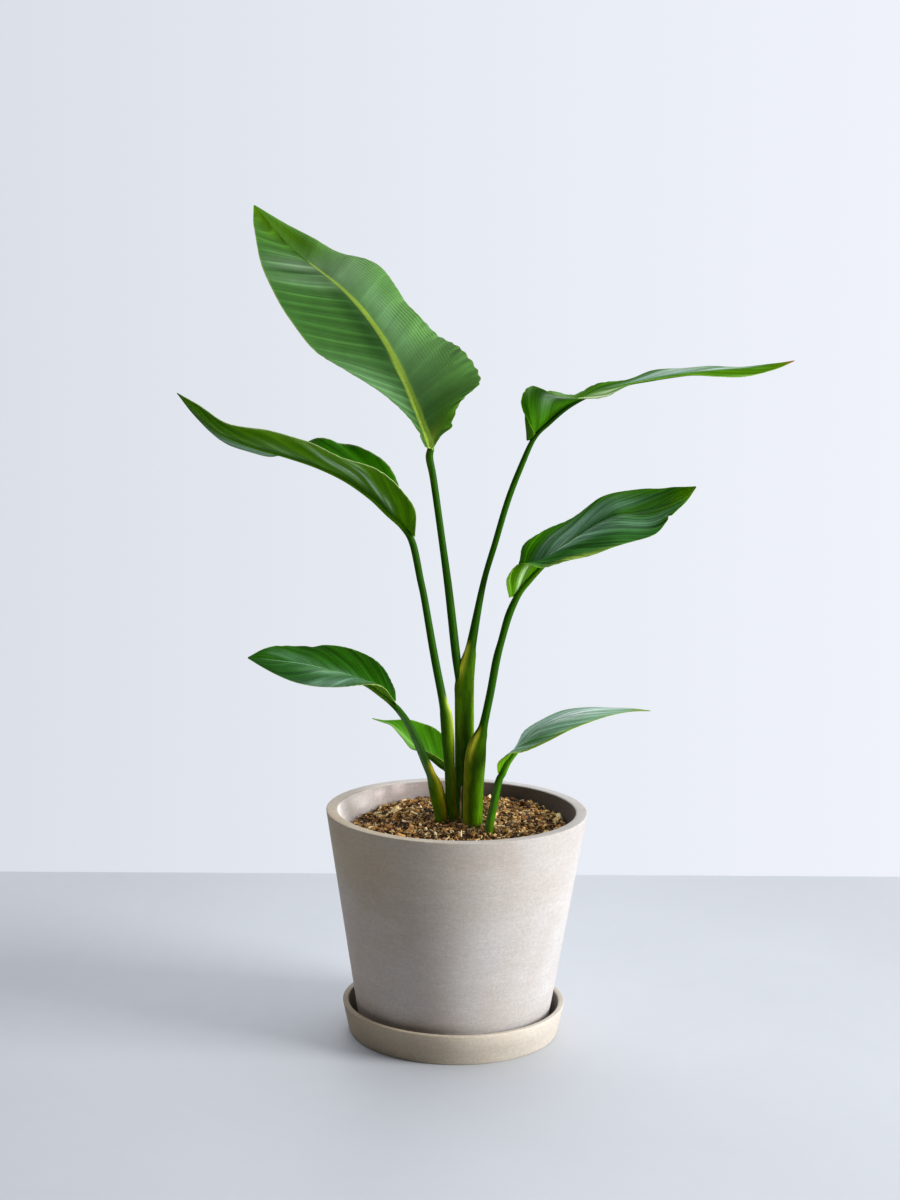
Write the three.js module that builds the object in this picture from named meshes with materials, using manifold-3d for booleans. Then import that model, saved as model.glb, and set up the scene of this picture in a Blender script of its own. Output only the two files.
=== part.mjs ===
// Potted bird of paradise (Strelitzia): seven leaves on sheathed stalks, standing in
// chip soil in a tapered stone-composite pot, on its own round saucer.
// Millimetres, +Z up. The origin is the centre of the saucer's underside, and the
// broad side of the leaf fan faces -Y.

import * as THREE from 'three';
import { mergeVertices } from 'three/addons/utils/BufferGeometryUtils.js';
import Module from 'manifold-3d';

const wasm = await Module();
wasm.setup();

// ---------------------------------------------------------------- driving dimensions

const CLEARANCE = 0.3;            // between pieces that touch

const SAUCER_HEIGHT = 36;
const SAUCER_BASE_RADIUS = 121;
const SAUCER_LIP_RADIUS = 129;
const SAUCER_WALL = 6.8;
const SAUCER_FLOOR = 6;

const POT_BOTTOM = SAUCER_FLOOR + CLEARANCE;
const POT_RIM_HEIGHT = 262;       // above the ground
const POT_BASE_RADIUS = 109;
const POT_RIM_RADIUS = 150;
const POT_WALL = 13;
const POT_FLOOR_TOP = POT_BOTTOM + 12.3;
const POT_FOOT_HEIGHT = 3;        // the foot ring lifts the drained floor
const POT_FOOT_INNER_RADIUS = 90;
const DRAIN_RADIUS = 8;
const TURN_SEGMENTS = 48;

const SOIL_EDGE_HEIGHT = 232;     // mean height of the soil at the pot wall
const SOIL_CROWN = 15;            // how much higher it lies round the stalks
const SOIL_RISE_BACK = 13;
const SOIL_RISE_RIGHT = 6;
const CHIP_RELIEF = 1.5;
const SOIL_RINGS = 10;
const SOIL_WALL_GAP = 0.4;
const STALK_HOLE_GAP = 0.4;

const BLADE_CENTRE_THICKNESS = 1.3;
const BLADE_EDGE_THICKNESS = 0.8;
const TIP_HALF_WIDTH = 0.9;
const KEEL_END = 0.88;            // share of the blade that the raised midrib runs along
const KEEL_BASE_SHARE = 0.85;     // of the stalk's half width
const KEEL_DROP = 0.6;            // of its own radius, below the blade
const KEEL_TIP_RADIUS = 0.7;
const KEEL_STEPS = 6;
const STALK_SIDES = 8;
const PATH_TENSION = 0.5;

// Each leaf is drawn through three lines that run from the base of its blade to its tip:
// the midrib, and its left and right margins as seen from above, looking to the tip. The
// lines have the same number of stations, so that station k of a margin is where the
// veins that leave the midrib at station k come out. Both margins end in the last point
// of the midrib. belly arches a half up (+) or down (-), as a share of its width, and
// ripple is [height, count] of the small waves along each margin. stalk goes up from the
// soil: x, y, z, half width, half depth. wraps names the leaf whose stalk rises inside
// this one's sheath.
const LEAVES = {
  leaf_top: {
    rows: 26,
    columns: 5,
    midrib: [
      [-33.5, 0, 674], [-44, 6, 697], [-52.5, 13, 717.5], [-63, 21, 741.5],
      [-78.5, 31, 772], [-96, 42, 800.5], [-117, 54, 827], [-141.5, 66, 851],
      [-170, 78, 872], [-199.5, 87, 895], [-243, 92, 942.5],
    ],
    left: [
      [-42.5, -3, 677.5], [-60, -2, 708.5], [-87, 2, 733], [-134.5, 8, 762],
      [-170, 18, 783.5], [-196.5, 30, 815], [-216.5, 44, 845.5], [-229.5, 58, 870],
      [-238, 72, 898], [-243, 84, 921.5],
    ],
    right: [
      [-30.5, -4, 680.5], [-3.5, -7, 729.5], [18, 4, 751.5], [-1, 26, 783],
      [-31.5, 46, 801.5], [-60.5, 62, 829], [-79.5, 76, 852.5], [-99.5, 88, 877.5],
      [-141.5, 97, 890.5], [-184, 100, 910.5],
    ],
    belly: [-0.03, 0.06],
    ripple: [[0.8, 5], [1.8, 7]],
    stalk: [
      [4, 14, 202, 3, 3.5], [3.5, 14, 237.5, 3, 3.5], [3, 12, 281, 3, 3.5],
      [2, 10, 340.5, 3, 4], [1, 9, 381.5, 3, 4.5], [-0.5, 8, 408.5, 3.5, 5],
      [-2, 7, 425, 4.5, 5.5], [-5, 6, 448.5, 5, 5.5], [-13.5, 5, 515, 4.5, 4.5],
      [-22, 3, 572.5, 4, 4], [-32.5, 2, 640, 4, 4], [-37.5, 2, 665, 4.3, 4],
    ],
  },
  leaf_high_left: {
    rows: 24,
    columns: 4,
    midrib: [
      [-60.5, 0, 584.5], [-77.5, -2, 599], [-97, -4, 617.5], [-125, -6, 637.5],
      [-157, -8, 653], [-191, -8, 664], [-223, -8, 672], [-250, -8, 680.5],
      [-276.5, -8, 693], [-299, -8, 713.5], [-319, -8, 733],
    ],
    left: [
      [-52, -4, 576], [-52.5, -24, 610], [-69, -40, 634.5], [-97.5, -46, 657],
      [-137.5, -46, 669.5], [-174, -42, 685.5], [-210.5, -38, 695], [-242, -32, 698.5],
      [-268.5, -24, 705], [-293.5, -17, 721],
    ],
    right: [
      [-69, 4, 585], [-69.5, 20, 623], [-84.5, 30, 653.5], [-119, 34, 674],
      [-157, 36, 682.5], [-179.5, 38, 676.5], [-214.5, 32, 661], [-245.5, 24, 667.5],
      [-276, 14, 682], [-299.5, 4, 706],
    ],
    belly: [-0.05, -0.05],
    ripple: [[0.6, 5], [0.6, 5]],
    stalk: [
      [-2, 2, 205, 5.5, 6.5], [-2.5, 2, 244.5, 6, 6.5], [-7, 1, 273, 5.8, 7],
      [-9, 0, 309.5, 6, 7], [-11.5, -1, 345, 7.3, 7], [-14, -1, 370.5, 7, 6.5],
      [-18, -1, 389, 5, 5.5], [-29, -1, 442, 4.5, 4.5], [-40.5, -1, 504, 4, 4],
      [-45.5, 0, 526.5, 4, 4], [-55, 0, 568.5, 4, 4],
    ],
  },
  leaf_high_right: {
    wraps: 'leaf_top',
    rows: 26,
    columns: 4,
    midrib: [
      [74.5, 0, 687], [88.5, 0, 701.5], [107, 0, 719], [125.5, 0, 731.5], [149, 0, 743],
      [175.5, 0, 750.5], [206.5, 0, 757], [242, 0, 763], [275.5, 0, 766.5],
      [312, 0, 770], [342, 0, 773.5], [366.5, 0, 780],
    ],
    left: [
      [71, 4, 686], [70, 26, 731], [95, 38, 739.5], [123, 44, 736], [151, 46, 748],
      [183.5, 44, 754], [215.5, 38, 765], [250, 33, 769], [280.5, 27, 771],
      [316.5, 18, 772], [344, 8, 776],
    ],
    right: [
      [80, -5, 694], [63, -22, 728.5], [73, -34, 748.5], [104, -40, 739.5],
      [151, -42, 737.5], [181, -44, 753.5], [211.5, -42, 758.5], [247, -37, 764.5],
      [277.5, -28, 762], [315, -19, 763.5], [344, -9, 770.5],
    ],
    belly: [-0.03, -0.03],
    ripple: [[0.6, 6], [0.6, 6]],
    stalk: [
      [11, 14, 202, 10.5, 7.5], [10, 14, 238, 11, 8], [8.5, 12, 281, 11, 8.5],
      [7.5, 10, 340.5, 11, 9], [6.5, 9, 387.5, 11, 9], [6.2, 8.5, 403, 11.2, 8.8],
      [7.2, 8, 414, 10.3, 8.4], [8.5, 7, 426.5, 9.6, 8], [11.5, 6, 440.5, 7.5, 7],
      [14, 6, 456.5, 5.5, 5.5], [25.5, 4, 523, 3.5, 4], [38, 2, 570, 3.5, 4],
      [51.5, 1, 619, 3.5, 3.5], [66, 0, 659, 3.3, 3.5],
    ],
  },
  leaf_mid_right: {
    rows: 24,
    columns: 4,
    midrib: [
      [61, 0, 510], [73.5, 0, 526.5], [89, 0, 544], [105.5, 0, 561], [128, 0, 577.5],
      [150, 0, 593.5], [172, 0, 604.5], [196.5, 0, 608], [222.5, 0, 615.5],
      [244.5, 0, 627], [262, 0, 637.5],
    ],
    left: [
      [60.5, 5, 516.5], [66, 20, 546.5], [71.5, 30, 564.5], [93.5, 36, 581],
      [120.5, 38, 592], [146, 36, 611.5], [170.5, 34, 625.5], [202, 29, 630.5],
      [226, 20, 633.5], [245, 10, 636],
    ],
    right: [
      [55, -6, 509], [51.5, -20, 533.5], [64.5, -34, 550.5], [91, -38, 549],
      [123, -38, 557.5], [155, -34, 566.5], [187.5, -28, 577.5], [216.5, -24, 586.5],
      [232, -18, 605], [249.5, -9, 620],
    ],
    belly: [0.02, 0.05],
    ripple: [[0.8, 6], [0.8, 6]],
    stalk: [
      [19, -11, 207, 10.5, 8], [18.5, -11, 244.5, 11, 8.5], [18.5, -10, 286.5, 11.5, 8.5],
      [20, -9, 320.5, 12, 8], [22, -8, 339, 10.5, 7.5], [26, -7, 351.5, 7.5, 6.5],
      [29, -7, 363.5, 5, 5.5], [36, -5, 400, 4.5, 4.5], [42, -4, 437, 4.5, 4],
      [47.5, -3, 460, 4, 4], [55.5, -1, 489.5, 4.3, 4],
    ],
  },
  leaf_low_left: {
    rows: 18,
    columns: 4,
    midrib: [
      [-73.5, 0, 384.5], [-86.5, 0, 394.5], [-103.5, 0, 406], [-125.5, 0, 415.5],
      [-147, 0, 420.5], [-168.5, 0, 426], [-188, 0, 429], [-207.5, 0, 431],
      [-224.5, 0, 433], [-240.5, 0, 434],
    ],
    left: [
      [-70, -3, 383], [-75.5, -14, 393], [-85.5, -26, 408], [-107, -32, 411],
      [-130.5, -32, 409], [-155.5, -28, 407], [-179.5, -23, 410], [-202.5, -16, 416],
      [-222.5, -8, 424.5],
    ],
    right: [
      [-71.5, 4, 387], [-74.5, 18, 399.5], [-86.5, 28, 418.5], [-107.5, 33, 434.5],
      [-133, 33, 442], [-158, 30, 445.5], [-182, 26, 443.5], [-203, 18, 446],
      [-223, 9, 443],
    ],
    belly: [0.05, 0.02],
    ripple: [[0.5, 4], [0.7, 5]],
    stalk: [
      [-15.5, 2, 205, 7, 6.5], [-17, 2, 246.5, 7.3, 6.5], [-21.5, 1, 272.5, 8.5, 6],
      [-25.5, 0, 289.5, 8, 5.5], [-30, -1, 301.5, 5.5, 5], [-34.5, -1, 312, 5.2, 4.5],
      [-53, -1, 353.5, 4.3, 4], [-66.5, 0, 374, 3.8, 3.5],
    ],
  },
  leaf_low_back: {
    rows: 14,
    columns: 3,
    midrib: [
      [-8.5, 58, 290.5], [-21.5, 60, 300], [-36, 62, 311], [-52.5, 64, 322.5],
      [-65.5, 66, 335], [-77.5, 68, 344], [-88, 70, 347.5], [-101, 72, 350.5],
    ],
    left: [
      [-6, 55, 293], [-18, 46, 308], [-34.5, 40, 318.5], [-53, 42, 321.5],
      [-65, 50, 332.5], [-77.5, 60, 344.5], [-88, 67, 347],
    ],
    right: [
      [-8.5, 62, 295], [-10, 72, 321.5], [-24.5, 80, 336.5], [-43.5, 84, 344],
      [-60, 82, 348], [-74.5, 76, 348.5], [-87, 73, 348.5],
    ],
    belly: [0.04, -0.04],
    ripple: [[0.4, 4], [0.4, 4]],
    stalk: [
      [-13.5, 16, 196, 3.5, 3.5], [-13, 18, 236.5, 3.5, 3.5], [-11.5, 28, 265, 3.3, 3],
      [-9.5, 46, 280.5, 2.8, 2.8],
    ],
  },
  leaf_low_right: {
    rows: 18,
    columns: 3,
    midrib: [
      [48.5, -30, 309.5], [54.5, -29, 323.5], [65, -28, 338], [79, -26.5, 352],
      [94.5, -25.5, 365], [116, -24.5, 375], [140.5, -23.5, 381], [169, -22, 384],
      [193.5, -21, 385], [216.5, -20, 384.5],
    ],
    left: [
      [50.5, -26, 313.5], [56, -17, 326.5], [66.5, -6, 338], [76.5, -0.5, 355],
      [95.5, 1.5, 368], [118, -0.5, 378.5], [145, -5.5, 384.5], [172, -12, 385.5],
      [196, -18, 386.5],
    ],
    right: [
      [45.5, -33, 312.5], [45.5, -42, 326.5], [56, -51, 338], [74, -52.5, 342],
      [98.5, -49.5, 353], [124, -43.5, 365], [149, -36.5, 374.5], [173, -28, 380.5],
      [196, -23, 384],
    ],
    belly: [0.03, 0.05],
    ripple: [[0.4, 4], [0.4, 4]],
    stalk: [
      [36.5, -33, 208.5, 5, 5], [36.5, -33, 246, 5, 5], [41.5, -32, 275, 4.7, 4.5],
      [47, -31, 303, 4.2, 4],
    ],
  },
};

// A brown, dried edge of an old sheath stands between two of the stalks.
const DRY_SHEATH = [
  [6, -4, 214, 1, 4], [5.5, -4, 242.5, 1, 4], [4.5, -3, 267, 1.2, 3], [5, -2, 289, 0.8, 1],
];

const COLOURS = {
  saucer: { color: 0xd3cabd, roughness: 0.75 },
  pot: { color: 0xcfc9c4, roughness: 0.7 },
  soil: { color: 0x7a5a38, roughness: 0.95 },
  leaf: { color: 0x2f6a1e, roughness: 0.4 },
  dry_sheath: { color: 0x8a6a4a, roughness: 0.8 },
};

// ---------------------------------------------------------------- helpers

const UP = new THREE.Vector3(0, 0, 1);
const DEPTH_AXIS = new THREE.Vector3(0, 1, 0);

function vector([x, y, z]) {
  return new THREE.Vector3(x, y, z);
}

function curveThrough(points) {
  return new THREE.CatmullRomCurve3(points.map(vector), false, 'catmullrom', PATH_TENSION);
}

// A closed body from its vertices (Vector3) and triangles (triples of vertex numbers).
function closedGeometry(vertices, triangles) {
  const geometry = new THREE.BufferGeometry().setFromPoints(vertices);
  geometry.setIndex(triangles.flat());
  return geometry;
}

function toSolid(geometry) {
  const plain = geometry.clone();
  plain.deleteAttribute('normal');
  plain.deleteAttribute('uv');
  const merged = mergeVertices(plain, 1e-4);
  return new wasm.Manifold(new wasm.Mesh({
    numProp: 3,
    vertProperties: new Float32Array(merged.attributes.position.array),
    triVerts: new Uint32Array(merged.index.array),
  }));
}

// The solid's largest piece, as a geometry; scraps that a cut leaves are dropped.
function toGeometry(solid) {
  const pieces = solid.decompose();
  pieces.sort((a, b) => b.volume() - a.volume());
  const mesh = pieces[0].getMesh();
  const geometry = new THREE.BufferGeometry();
  geometry.setAttribute('position', new THREE.BufferAttribute(mesh.vertProperties, 3));
  geometry.setIndex(new THREE.BufferAttribute(mesh.triVerts, 1));
  return geometry;
}

// A solid of revolution round +Z from a profile of [radius, height] points.
function turned(profile) {
  const points = profile.map(([radius, height]) => new THREE.Vector2(radius, height));
  const geometry = new THREE.LatheGeometry(points, TURN_SEGMENTS);
  geometry.rotateX(Math.PI / 2);
  return toGeometry(toSolid(geometry));
}

// ---------------------------------------------------------------- saucer and pot

function potOuterRadius(height) {
  const share = (height - POT_BOTTOM) / (POT_RIM_HEIGHT - POT_BOTTOM);
  return POT_BASE_RADIUS + (POT_RIM_RADIUS - POT_BASE_RADIUS) * share;
}

function potInnerRadius(height) {
  return potOuterRadius(height) - POT_WALL;
}

function saucerOuterRadius(height) {
  const share = height / SAUCER_HEIGHT;
  return SAUCER_BASE_RADIUS + (SAUCER_LIP_RADIUS - SAUCER_BASE_RADIUS) * share;
}

function saucerGeometry() {
  const top = SAUCER_HEIGHT;
  const innerLip = SAUCER_LIP_RADIUS - SAUCER_WALL;
  const innerFoot = saucerOuterRadius(SAUCER_FLOOR) - SAUCER_WALL - 1;
  return turned([
    [0, 0],
    [SAUCER_BASE_RADIUS - 1.5, 0],
    [saucerOuterRadius(1.2), 1.2],
    [saucerOuterRadius(top - 1.4), top - 1.4],
    [SAUCER_LIP_RADIUS - 0.5, top - 0.4],
    [SAUCER_LIP_RADIUS - 1.6, top],
    [innerLip + 1.4, top],
    [innerLip + 0.3, top - 0.5],
    [innerLip - 0.2, top - 1.6],
    [innerFoot, SAUCER_FLOOR + 2.2],
    [innerFoot - 2.6, SAUCER_FLOOR],
    [0, SAUCER_FLOOR],
  ]);
}

function potGeometry() {
  const bottom = POT_BOTTOM;
  const top = POT_RIM_HEIGHT;
  const rimInner = POT_RIM_RADIUS - POT_WALL;
  const underside = bottom + POT_FOOT_HEIGHT;
  return turned([
    [DRAIN_RADIUS, underside],
    [POT_FOOT_INNER_RADIUS - 2.5, underside],
    [POT_FOOT_INNER_RADIUS, bottom],
    [POT_BASE_RADIUS - 1.6, bottom],
    [potOuterRadius(bottom + 1.5), bottom + 1.5],
    [potOuterRadius(top - 1.8), top - 1.8],
    [POT_RIM_RADIUS - 0.8, top - 0.5],
    [POT_RIM_RADIUS - 2.2, top],
    [rimInner + 1.8, top],
    [rimInner + 0.4, top - 0.6],
    [potInnerRadius(top - 2), top - 2],
    [potInnerRadius(POT_FLOOR_TOP + 3), POT_FLOOR_TOP + 3],
    [potInnerRadius(POT_FLOOR_TOP) - 3, POT_FLOOR_TOP],
    [DRAIN_RADIUS, POT_FLOOR_TOP],
    [DRAIN_RADIUS, underside],
  ]);
}

// ---------------------------------------------------------------- stalks

// A body of elliptic sections along a path: each station is a centre, a half width
// (across the view from -Y) and a half depth (along it).
function loft(stations, steps) {
  const path = new THREE.CatmullRomCurve3(
    stations.map((station) => station.centre), false, 'catmullrom', PATH_TENSION);
  const spans = stations.length - 1;
  const vertices = [];
  const triangles = [];
  const count = spans * steps;
  for (let i = 0; i <= count; i += 1) {
    const centre = path.getPoint(i / count);
    const along = path.getTangent(i / count);
    const side = DEPTH_AXIS.clone().cross(along).normalize();
    const back = along.clone().cross(side);
    const span = Math.min(Math.floor(i / steps), spans - 1);
    const share = i / steps - span;
    const from = stations[span];
    const to = stations[span + 1];
    const halfWidth = THREE.MathUtils.lerp(from.halfWidth, to.halfWidth, share);
    const halfDepth = THREE.MathUtils.lerp(from.halfDepth, to.halfDepth, share);
    for (let k = 0; k < STALK_SIDES; k += 1) {
      const angle = 2 * Math.PI * (k + 0.5) / STALK_SIDES;
      vertices.push(centre.clone()
        .addScaledVector(side, halfWidth * Math.cos(angle))
        .addScaledVector(back, halfDepth * Math.sin(angle)));
    }
  }
  for (let i = 0; i < count; i += 1) {
    for (let k = 0; k < STALK_SIDES; k += 1) {
      const next = (k + 1) % STALK_SIDES;
      const a = i * STALK_SIDES + k;
      const b = i * STALK_SIDES + next;
      const c = (i + 1) * STALK_SIDES + next;
      const d = (i + 1) * STALK_SIDES + k;
      triangles.push([a, b, c], [a, c, d]);
    }
  }
  const last = count * STALK_SIDES;
  for (let k = 1; k < STALK_SIDES - 1; k += 1) {
    triangles.push([0, k + 1, k], [last, last + k, last + k + 1]);
  }
  return closedGeometry(vertices, triangles);
}

function stalkStations(rows, swell = 0) {
  return rows.map(([x, y, z, halfWidth, halfDepth]) => ({
    centre: new THREE.Vector3(x, y, z),
    halfWidth: halfWidth + swell,
    halfDepth: halfDepth + swell,
  }));
}

// The room that a stalk takes up, with a gap all round and under its foot.
function stalkRoom(rows, gap) {
  const stations = stalkStations(rows, gap);
  const foot = stations[0].centre;
  const down = foot.clone().sub(stations[1].centre).normalize();
  foot.addScaledVector(down, CLEARANCE);
  return toSolid(loft(stations, 2));
}

function stalkHole(rows) {
  return stalkRoom(rows.slice(0, 4), STALK_HOLE_GAP);
}

// ---------------------------------------------------------------- leaves

function marginWithTip(points, midrib) {
  const last = vector(points[points.length - 1]);
  const beside = vector(midrib[midrib.length - 2]);
  const tip = vector(midrib[midrib.length - 1]);
  const out = last.sub(beside).setLength(TIP_HALF_WIDTH);
  const end = tip.add(out);
  return curveThrough([...points, [end.x, end.y, end.z]]);
}

function leafLines(leaf) {
  return {
    midrib: curveThrough(leaf.midrib),
    margins: [marginWithTip(leaf.left, leaf.midrib), marginWithTip(leaf.right, leaf.midrib)],
  };
}

// Upper side of one half of the blade, square to its width and to the midrib.
function halfNormal(lines, side, share) {
  const out = lines.margins[side].getPoint(share).sub(lines.midrib.getPoint(share));
  const along = lines.midrib.getTangent(share);
  const normal = side === 1 ? out.cross(along) : along.cross(out);
  return normal.normalize();
}

// Middle surface of the blade, row by row from the left margin to the right one.
function bladeRows(leaf, lines) {
  const rows = [];
  for (let i = 0; i <= leaf.rows; i += 1) {
    const share = i / leaf.rows;
    const middle = lines.midrib.getPoint(share);
    const row = [];
    for (let j = -leaf.columns; j <= leaf.columns; j += 1) {
      const side = j < 0 ? 0 : 1;
      const across = Math.abs(j) / leaf.columns;
      const edge = lines.margins[side].getPoint(share);
      const width = edge.distanceTo(middle);
      const [height, count] = leaf.ripple[side];
      const fade = Math.min(1, width / 30);
      const arch = leaf.belly[side] * width * 4 * across * (1 - across);
      const wave = height * fade * across ** 3 * Math.sin(2 * Math.PI * count * share);
      row.push(middle.clone().lerp(edge, across)
        .addScaledVector(halfNormal(lines, side, share), arch + wave));
    }
    rows.push(row);
  }
  return rows;
}

function facing(rows, i, j, stepAcross) {
  const before = rows[Math.max(i - 1, 0)][j];
  const after = rows[Math.min(i + 1, rows.length - 1)][j];
  const across = rows[i][j + stepAcross].clone().sub(rows[i][j]).multiplyScalar(stepAcross);
  return across.cross(after.clone().sub(before)).normalize();
}

function surfaceNormal(rows, i, j) {
  const normal = new THREE.Vector3();
  if (j > 0) normal.add(facing(rows, i, j, -1));
  if (j < rows[i].length - 1) normal.add(facing(rows, i, j, 1));
  return normal.normalize();
}

// The blade: the middle surface given its thickness, thinner toward the margins. Both
// faces are split along the same diagonals.
function bladeGeometry(leaf, lines) {
  const rows = bladeRows(leaf, lines);
  const width = rows[0].length;
  const upper = [];
  const lower = [];
  rows.forEach((row, i) => row.forEach((point, j) => {
    const across = Math.abs(j - leaf.columns) / leaf.columns;
    const thickness = THREE.MathUtils.lerp(BLADE_CENTRE_THICKNESS, BLADE_EDGE_THICKNESS, across);
    const normal = surfaceNormal(rows, i, j);
    upper.push(point.clone().addScaledVector(normal, thickness / 2));
    lower.push(point.clone().addScaledVector(normal, -thickness / 2));
  }));
  const under = upper.length;
  const triangles = [];
  const quad = (a, b, c, d) => triangles.push([a, b, c], [a, c, d]);
  for (let i = 0; i < leaf.rows; i += 1) {
    for (let j = 0; j < width - 1; j += 1) {
      const a = i * width + j;
      const b = a + 1;
      const c = b + width;
      const d = a + width;
      triangles.push([a, b, c], [a, c, d]);
      triangles.push([under + a, under + c, under + b], [under + a, under + d, under + c]);
    }
    const left = i * width;
    const right = left + width - 1;
    quad(left, left + width, under + left + width, under + left);
    quad(right, under + right, under + right + width, right + width);
  }
  const tip = leaf.rows * width;
  for (let j = 0; j < width - 1; j += 1) {
    quad(j, under + j, under + j + 1, j + 1);
    quad(tip + j, tip + j + 1, under + tip + j + 1, under + tip + j);
  }
  return closedGeometry([...upper, ...lower], triangles);
}

// The stalk runs on below the blade as the raised midrib, tapering to the tip.
function keelStations(leaf, lines) {
  const [, , , stalkHalfWidth] = leaf.stalk[leaf.stalk.length - 1];
  const startRadius = KEEL_BASE_SHARE * stalkHalfWidth;
  const stations = [];
  for (let i = 0; i <= KEEL_STEPS; i += 1) {
    const share = KEEL_END * (0.03 + 0.97 * i / KEEL_STEPS);
    const radius = THREE.MathUtils.lerp(startRadius, KEEL_TIP_RADIUS, i / KEEL_STEPS);
    const up = halfNormal(lines, 0, share).add(halfNormal(lines, 1, share)).normalize();
    stations.push({
      centre: lines.midrib.getPoint(share).addScaledVector(up, -KEEL_DROP * radius),
      halfWidth: radius,
      halfDepth: radius,
    });
  }
  return stations;
}

// A leaf in one piece. Where its sheath wraps the stalk of another leaf, that stalk runs
// through it in a bore of its own.
function leafGeometry(leaf) {
  const lines = leafLines(leaf);
  const blade = toSolid(bladeGeometry(leaf, lines));
  const stations = [...stalkStations(leaf.stalk), ...keelStations(leaf, lines)];
  const whole = blade.add(toSolid(loft(stations, 2)));
  if (!leaf.wraps) return toGeometry(whole);
  return toGeometry(whole.subtract(stalkRoom(LEAVES[leaf.wraps].stalk, CLEARANCE)));
}

// ---------------------------------------------------------------- soil

// Height of the soil: a low crown round the stalks, tilted as it was filled, with the
// bumps of the chips.
function soilHeight(x, y, edgeRadius) {
  const reach = Math.hypot(x, y) / edgeRadius;
  const tilt = SOIL_RISE_RIGHT * x / edgeRadius + SOIL_RISE_BACK * y / edgeRadius;
  const chips = Math.sin(1.7 * x + 0.9 * y) * Math.cos(1.3 * y - 0.6 * x)
    + 0.5 * Math.sin(2.9 * x - 2.3 * y);
  return SOIL_EDGE_HEIGHT + SOIL_CROWN * (1 - reach * reach) + tilt + CHIP_RELIEF * chips;
}

function soilGeometry(holes) {
  const edgeRadius = potInnerRadius(SOIL_EDGE_HEIGHT);
  const floor = POT_FLOOR_TOP + CLEARANCE;
  const floorRadius = potInnerRadius(floor) - 3.4;
  const vertices = [new THREE.Vector3(0, 0, soilHeight(0, 0, edgeRadius))];
  for (let ring = 1; ring <= SOIL_RINGS; ring += 1) {
    const radius = edgeRadius * ring / SOIL_RINGS;
    for (let k = 0; k < TURN_SEGMENTS; k += 1) {
      const angle = 2 * Math.PI * k / TURN_SEGMENTS;
      const height = soilHeight(radius * Math.cos(angle), radius * Math.sin(angle), edgeRadius);
      const reach = Math.min(radius, potInnerRadius(height) - SOIL_WALL_GAP);
      vertices.push(new THREE.Vector3(
        reach * Math.cos(angle), reach * Math.sin(angle), height));
    }
  }
  const start = (ring) => 1 + (ring - 1) * TURN_SEGMENTS;
  const foot = vertices.length;
  for (let k = 0; k < TURN_SEGMENTS; k += 1) {
    const angle = 2 * Math.PI * k / TURN_SEGMENTS;
    vertices.push(new THREE.Vector3(
      floorRadius * Math.cos(angle), floorRadius * Math.sin(angle), floor));
  }
  const bottom = vertices.length;
  vertices.push(new THREE.Vector3(0, 0, floor));
  const triangles = [];
  for (let k = 0; k < TURN_SEGMENTS; k += 1) {
    const next = (k + 1) % TURN_SEGMENTS;
    triangles.push([0, start(1) + k, start(1) + next]);
    for (let ring = 1; ring < SOIL_RINGS; ring += 1) {
      const inner = start(ring);
      const outer = start(ring + 1);
      triangles.push([inner + k, outer + k, outer + next], [inner + k, outer + next, inner + next]);
    }
    const rim = start(SOIL_RINGS);
    triangles.push([rim + k, foot + k, foot + next], [rim + k, foot + next, rim + next]);
    triangles.push([bottom, foot + next, foot + k]);
  }
  let soil = toSolid(closedGeometry(vertices, triangles));
  holes.forEach((hole) => {
    soil = soil.subtract(hole);
  });
  return toGeometry(soil);
}

// ---------------------------------------------------------------- assembly

function piece(name, geometry, { color, roughness }) {
  const material = new THREE.MeshStandardMaterial({ color, roughness, metalness: 0 });
  const mesh = new THREE.Mesh(geometry, material);
  mesh.name = name;
  return mesh;
}

const plant = new THREE.Group();
plant.add(piece('saucer', saucerGeometry(), COLOURS.saucer));
plant.add(piece('pot', potGeometry(), COLOURS.pot));

const holes = Object.values(LEAVES).map((leaf) => stalkHole(leaf.stalk));
holes.push(stalkHole(DRY_SHEATH));
plant.add(piece('soil', soilGeometry(holes), COLOURS.soil));

for (const [name, leaf] of Object.entries(LEAVES)) {
  plant.add(piece(name, leafGeometry(leaf), COLOURS.leaf));
}

const drySheath = toGeometry(toSolid(loft(stalkStations(DRY_SHEATH), 1)));
plant.add(piece('dry_sheath', drySheath, COLOURS.dry_sheath));

export default plant;
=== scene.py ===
"""Potted bird of paradise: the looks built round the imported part.

The leaves are rebuilt finer through the same points as the solids, with veins, pleats and
colour; the pot and saucer are turned smooth and the soil is covered with chips.
Points are millimetres in the shared frame, and every mesh is made in metres.
"""

import itertools
import math

import bpy
import numpy as np
from mathutils import Matrix, Vector


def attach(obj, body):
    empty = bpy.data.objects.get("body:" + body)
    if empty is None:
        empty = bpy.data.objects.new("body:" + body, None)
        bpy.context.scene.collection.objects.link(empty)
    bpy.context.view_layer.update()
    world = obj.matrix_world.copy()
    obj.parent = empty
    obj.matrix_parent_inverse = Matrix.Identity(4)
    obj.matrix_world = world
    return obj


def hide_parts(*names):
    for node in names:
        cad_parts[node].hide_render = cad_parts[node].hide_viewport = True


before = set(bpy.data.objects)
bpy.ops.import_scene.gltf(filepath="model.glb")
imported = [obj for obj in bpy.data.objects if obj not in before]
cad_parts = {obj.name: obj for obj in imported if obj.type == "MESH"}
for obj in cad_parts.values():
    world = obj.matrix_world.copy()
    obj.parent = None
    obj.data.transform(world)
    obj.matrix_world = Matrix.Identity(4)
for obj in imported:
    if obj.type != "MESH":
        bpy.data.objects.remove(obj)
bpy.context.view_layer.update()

MM = 0.001
TAU = 2 * math.pi

# ---------- the leaves' points

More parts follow.
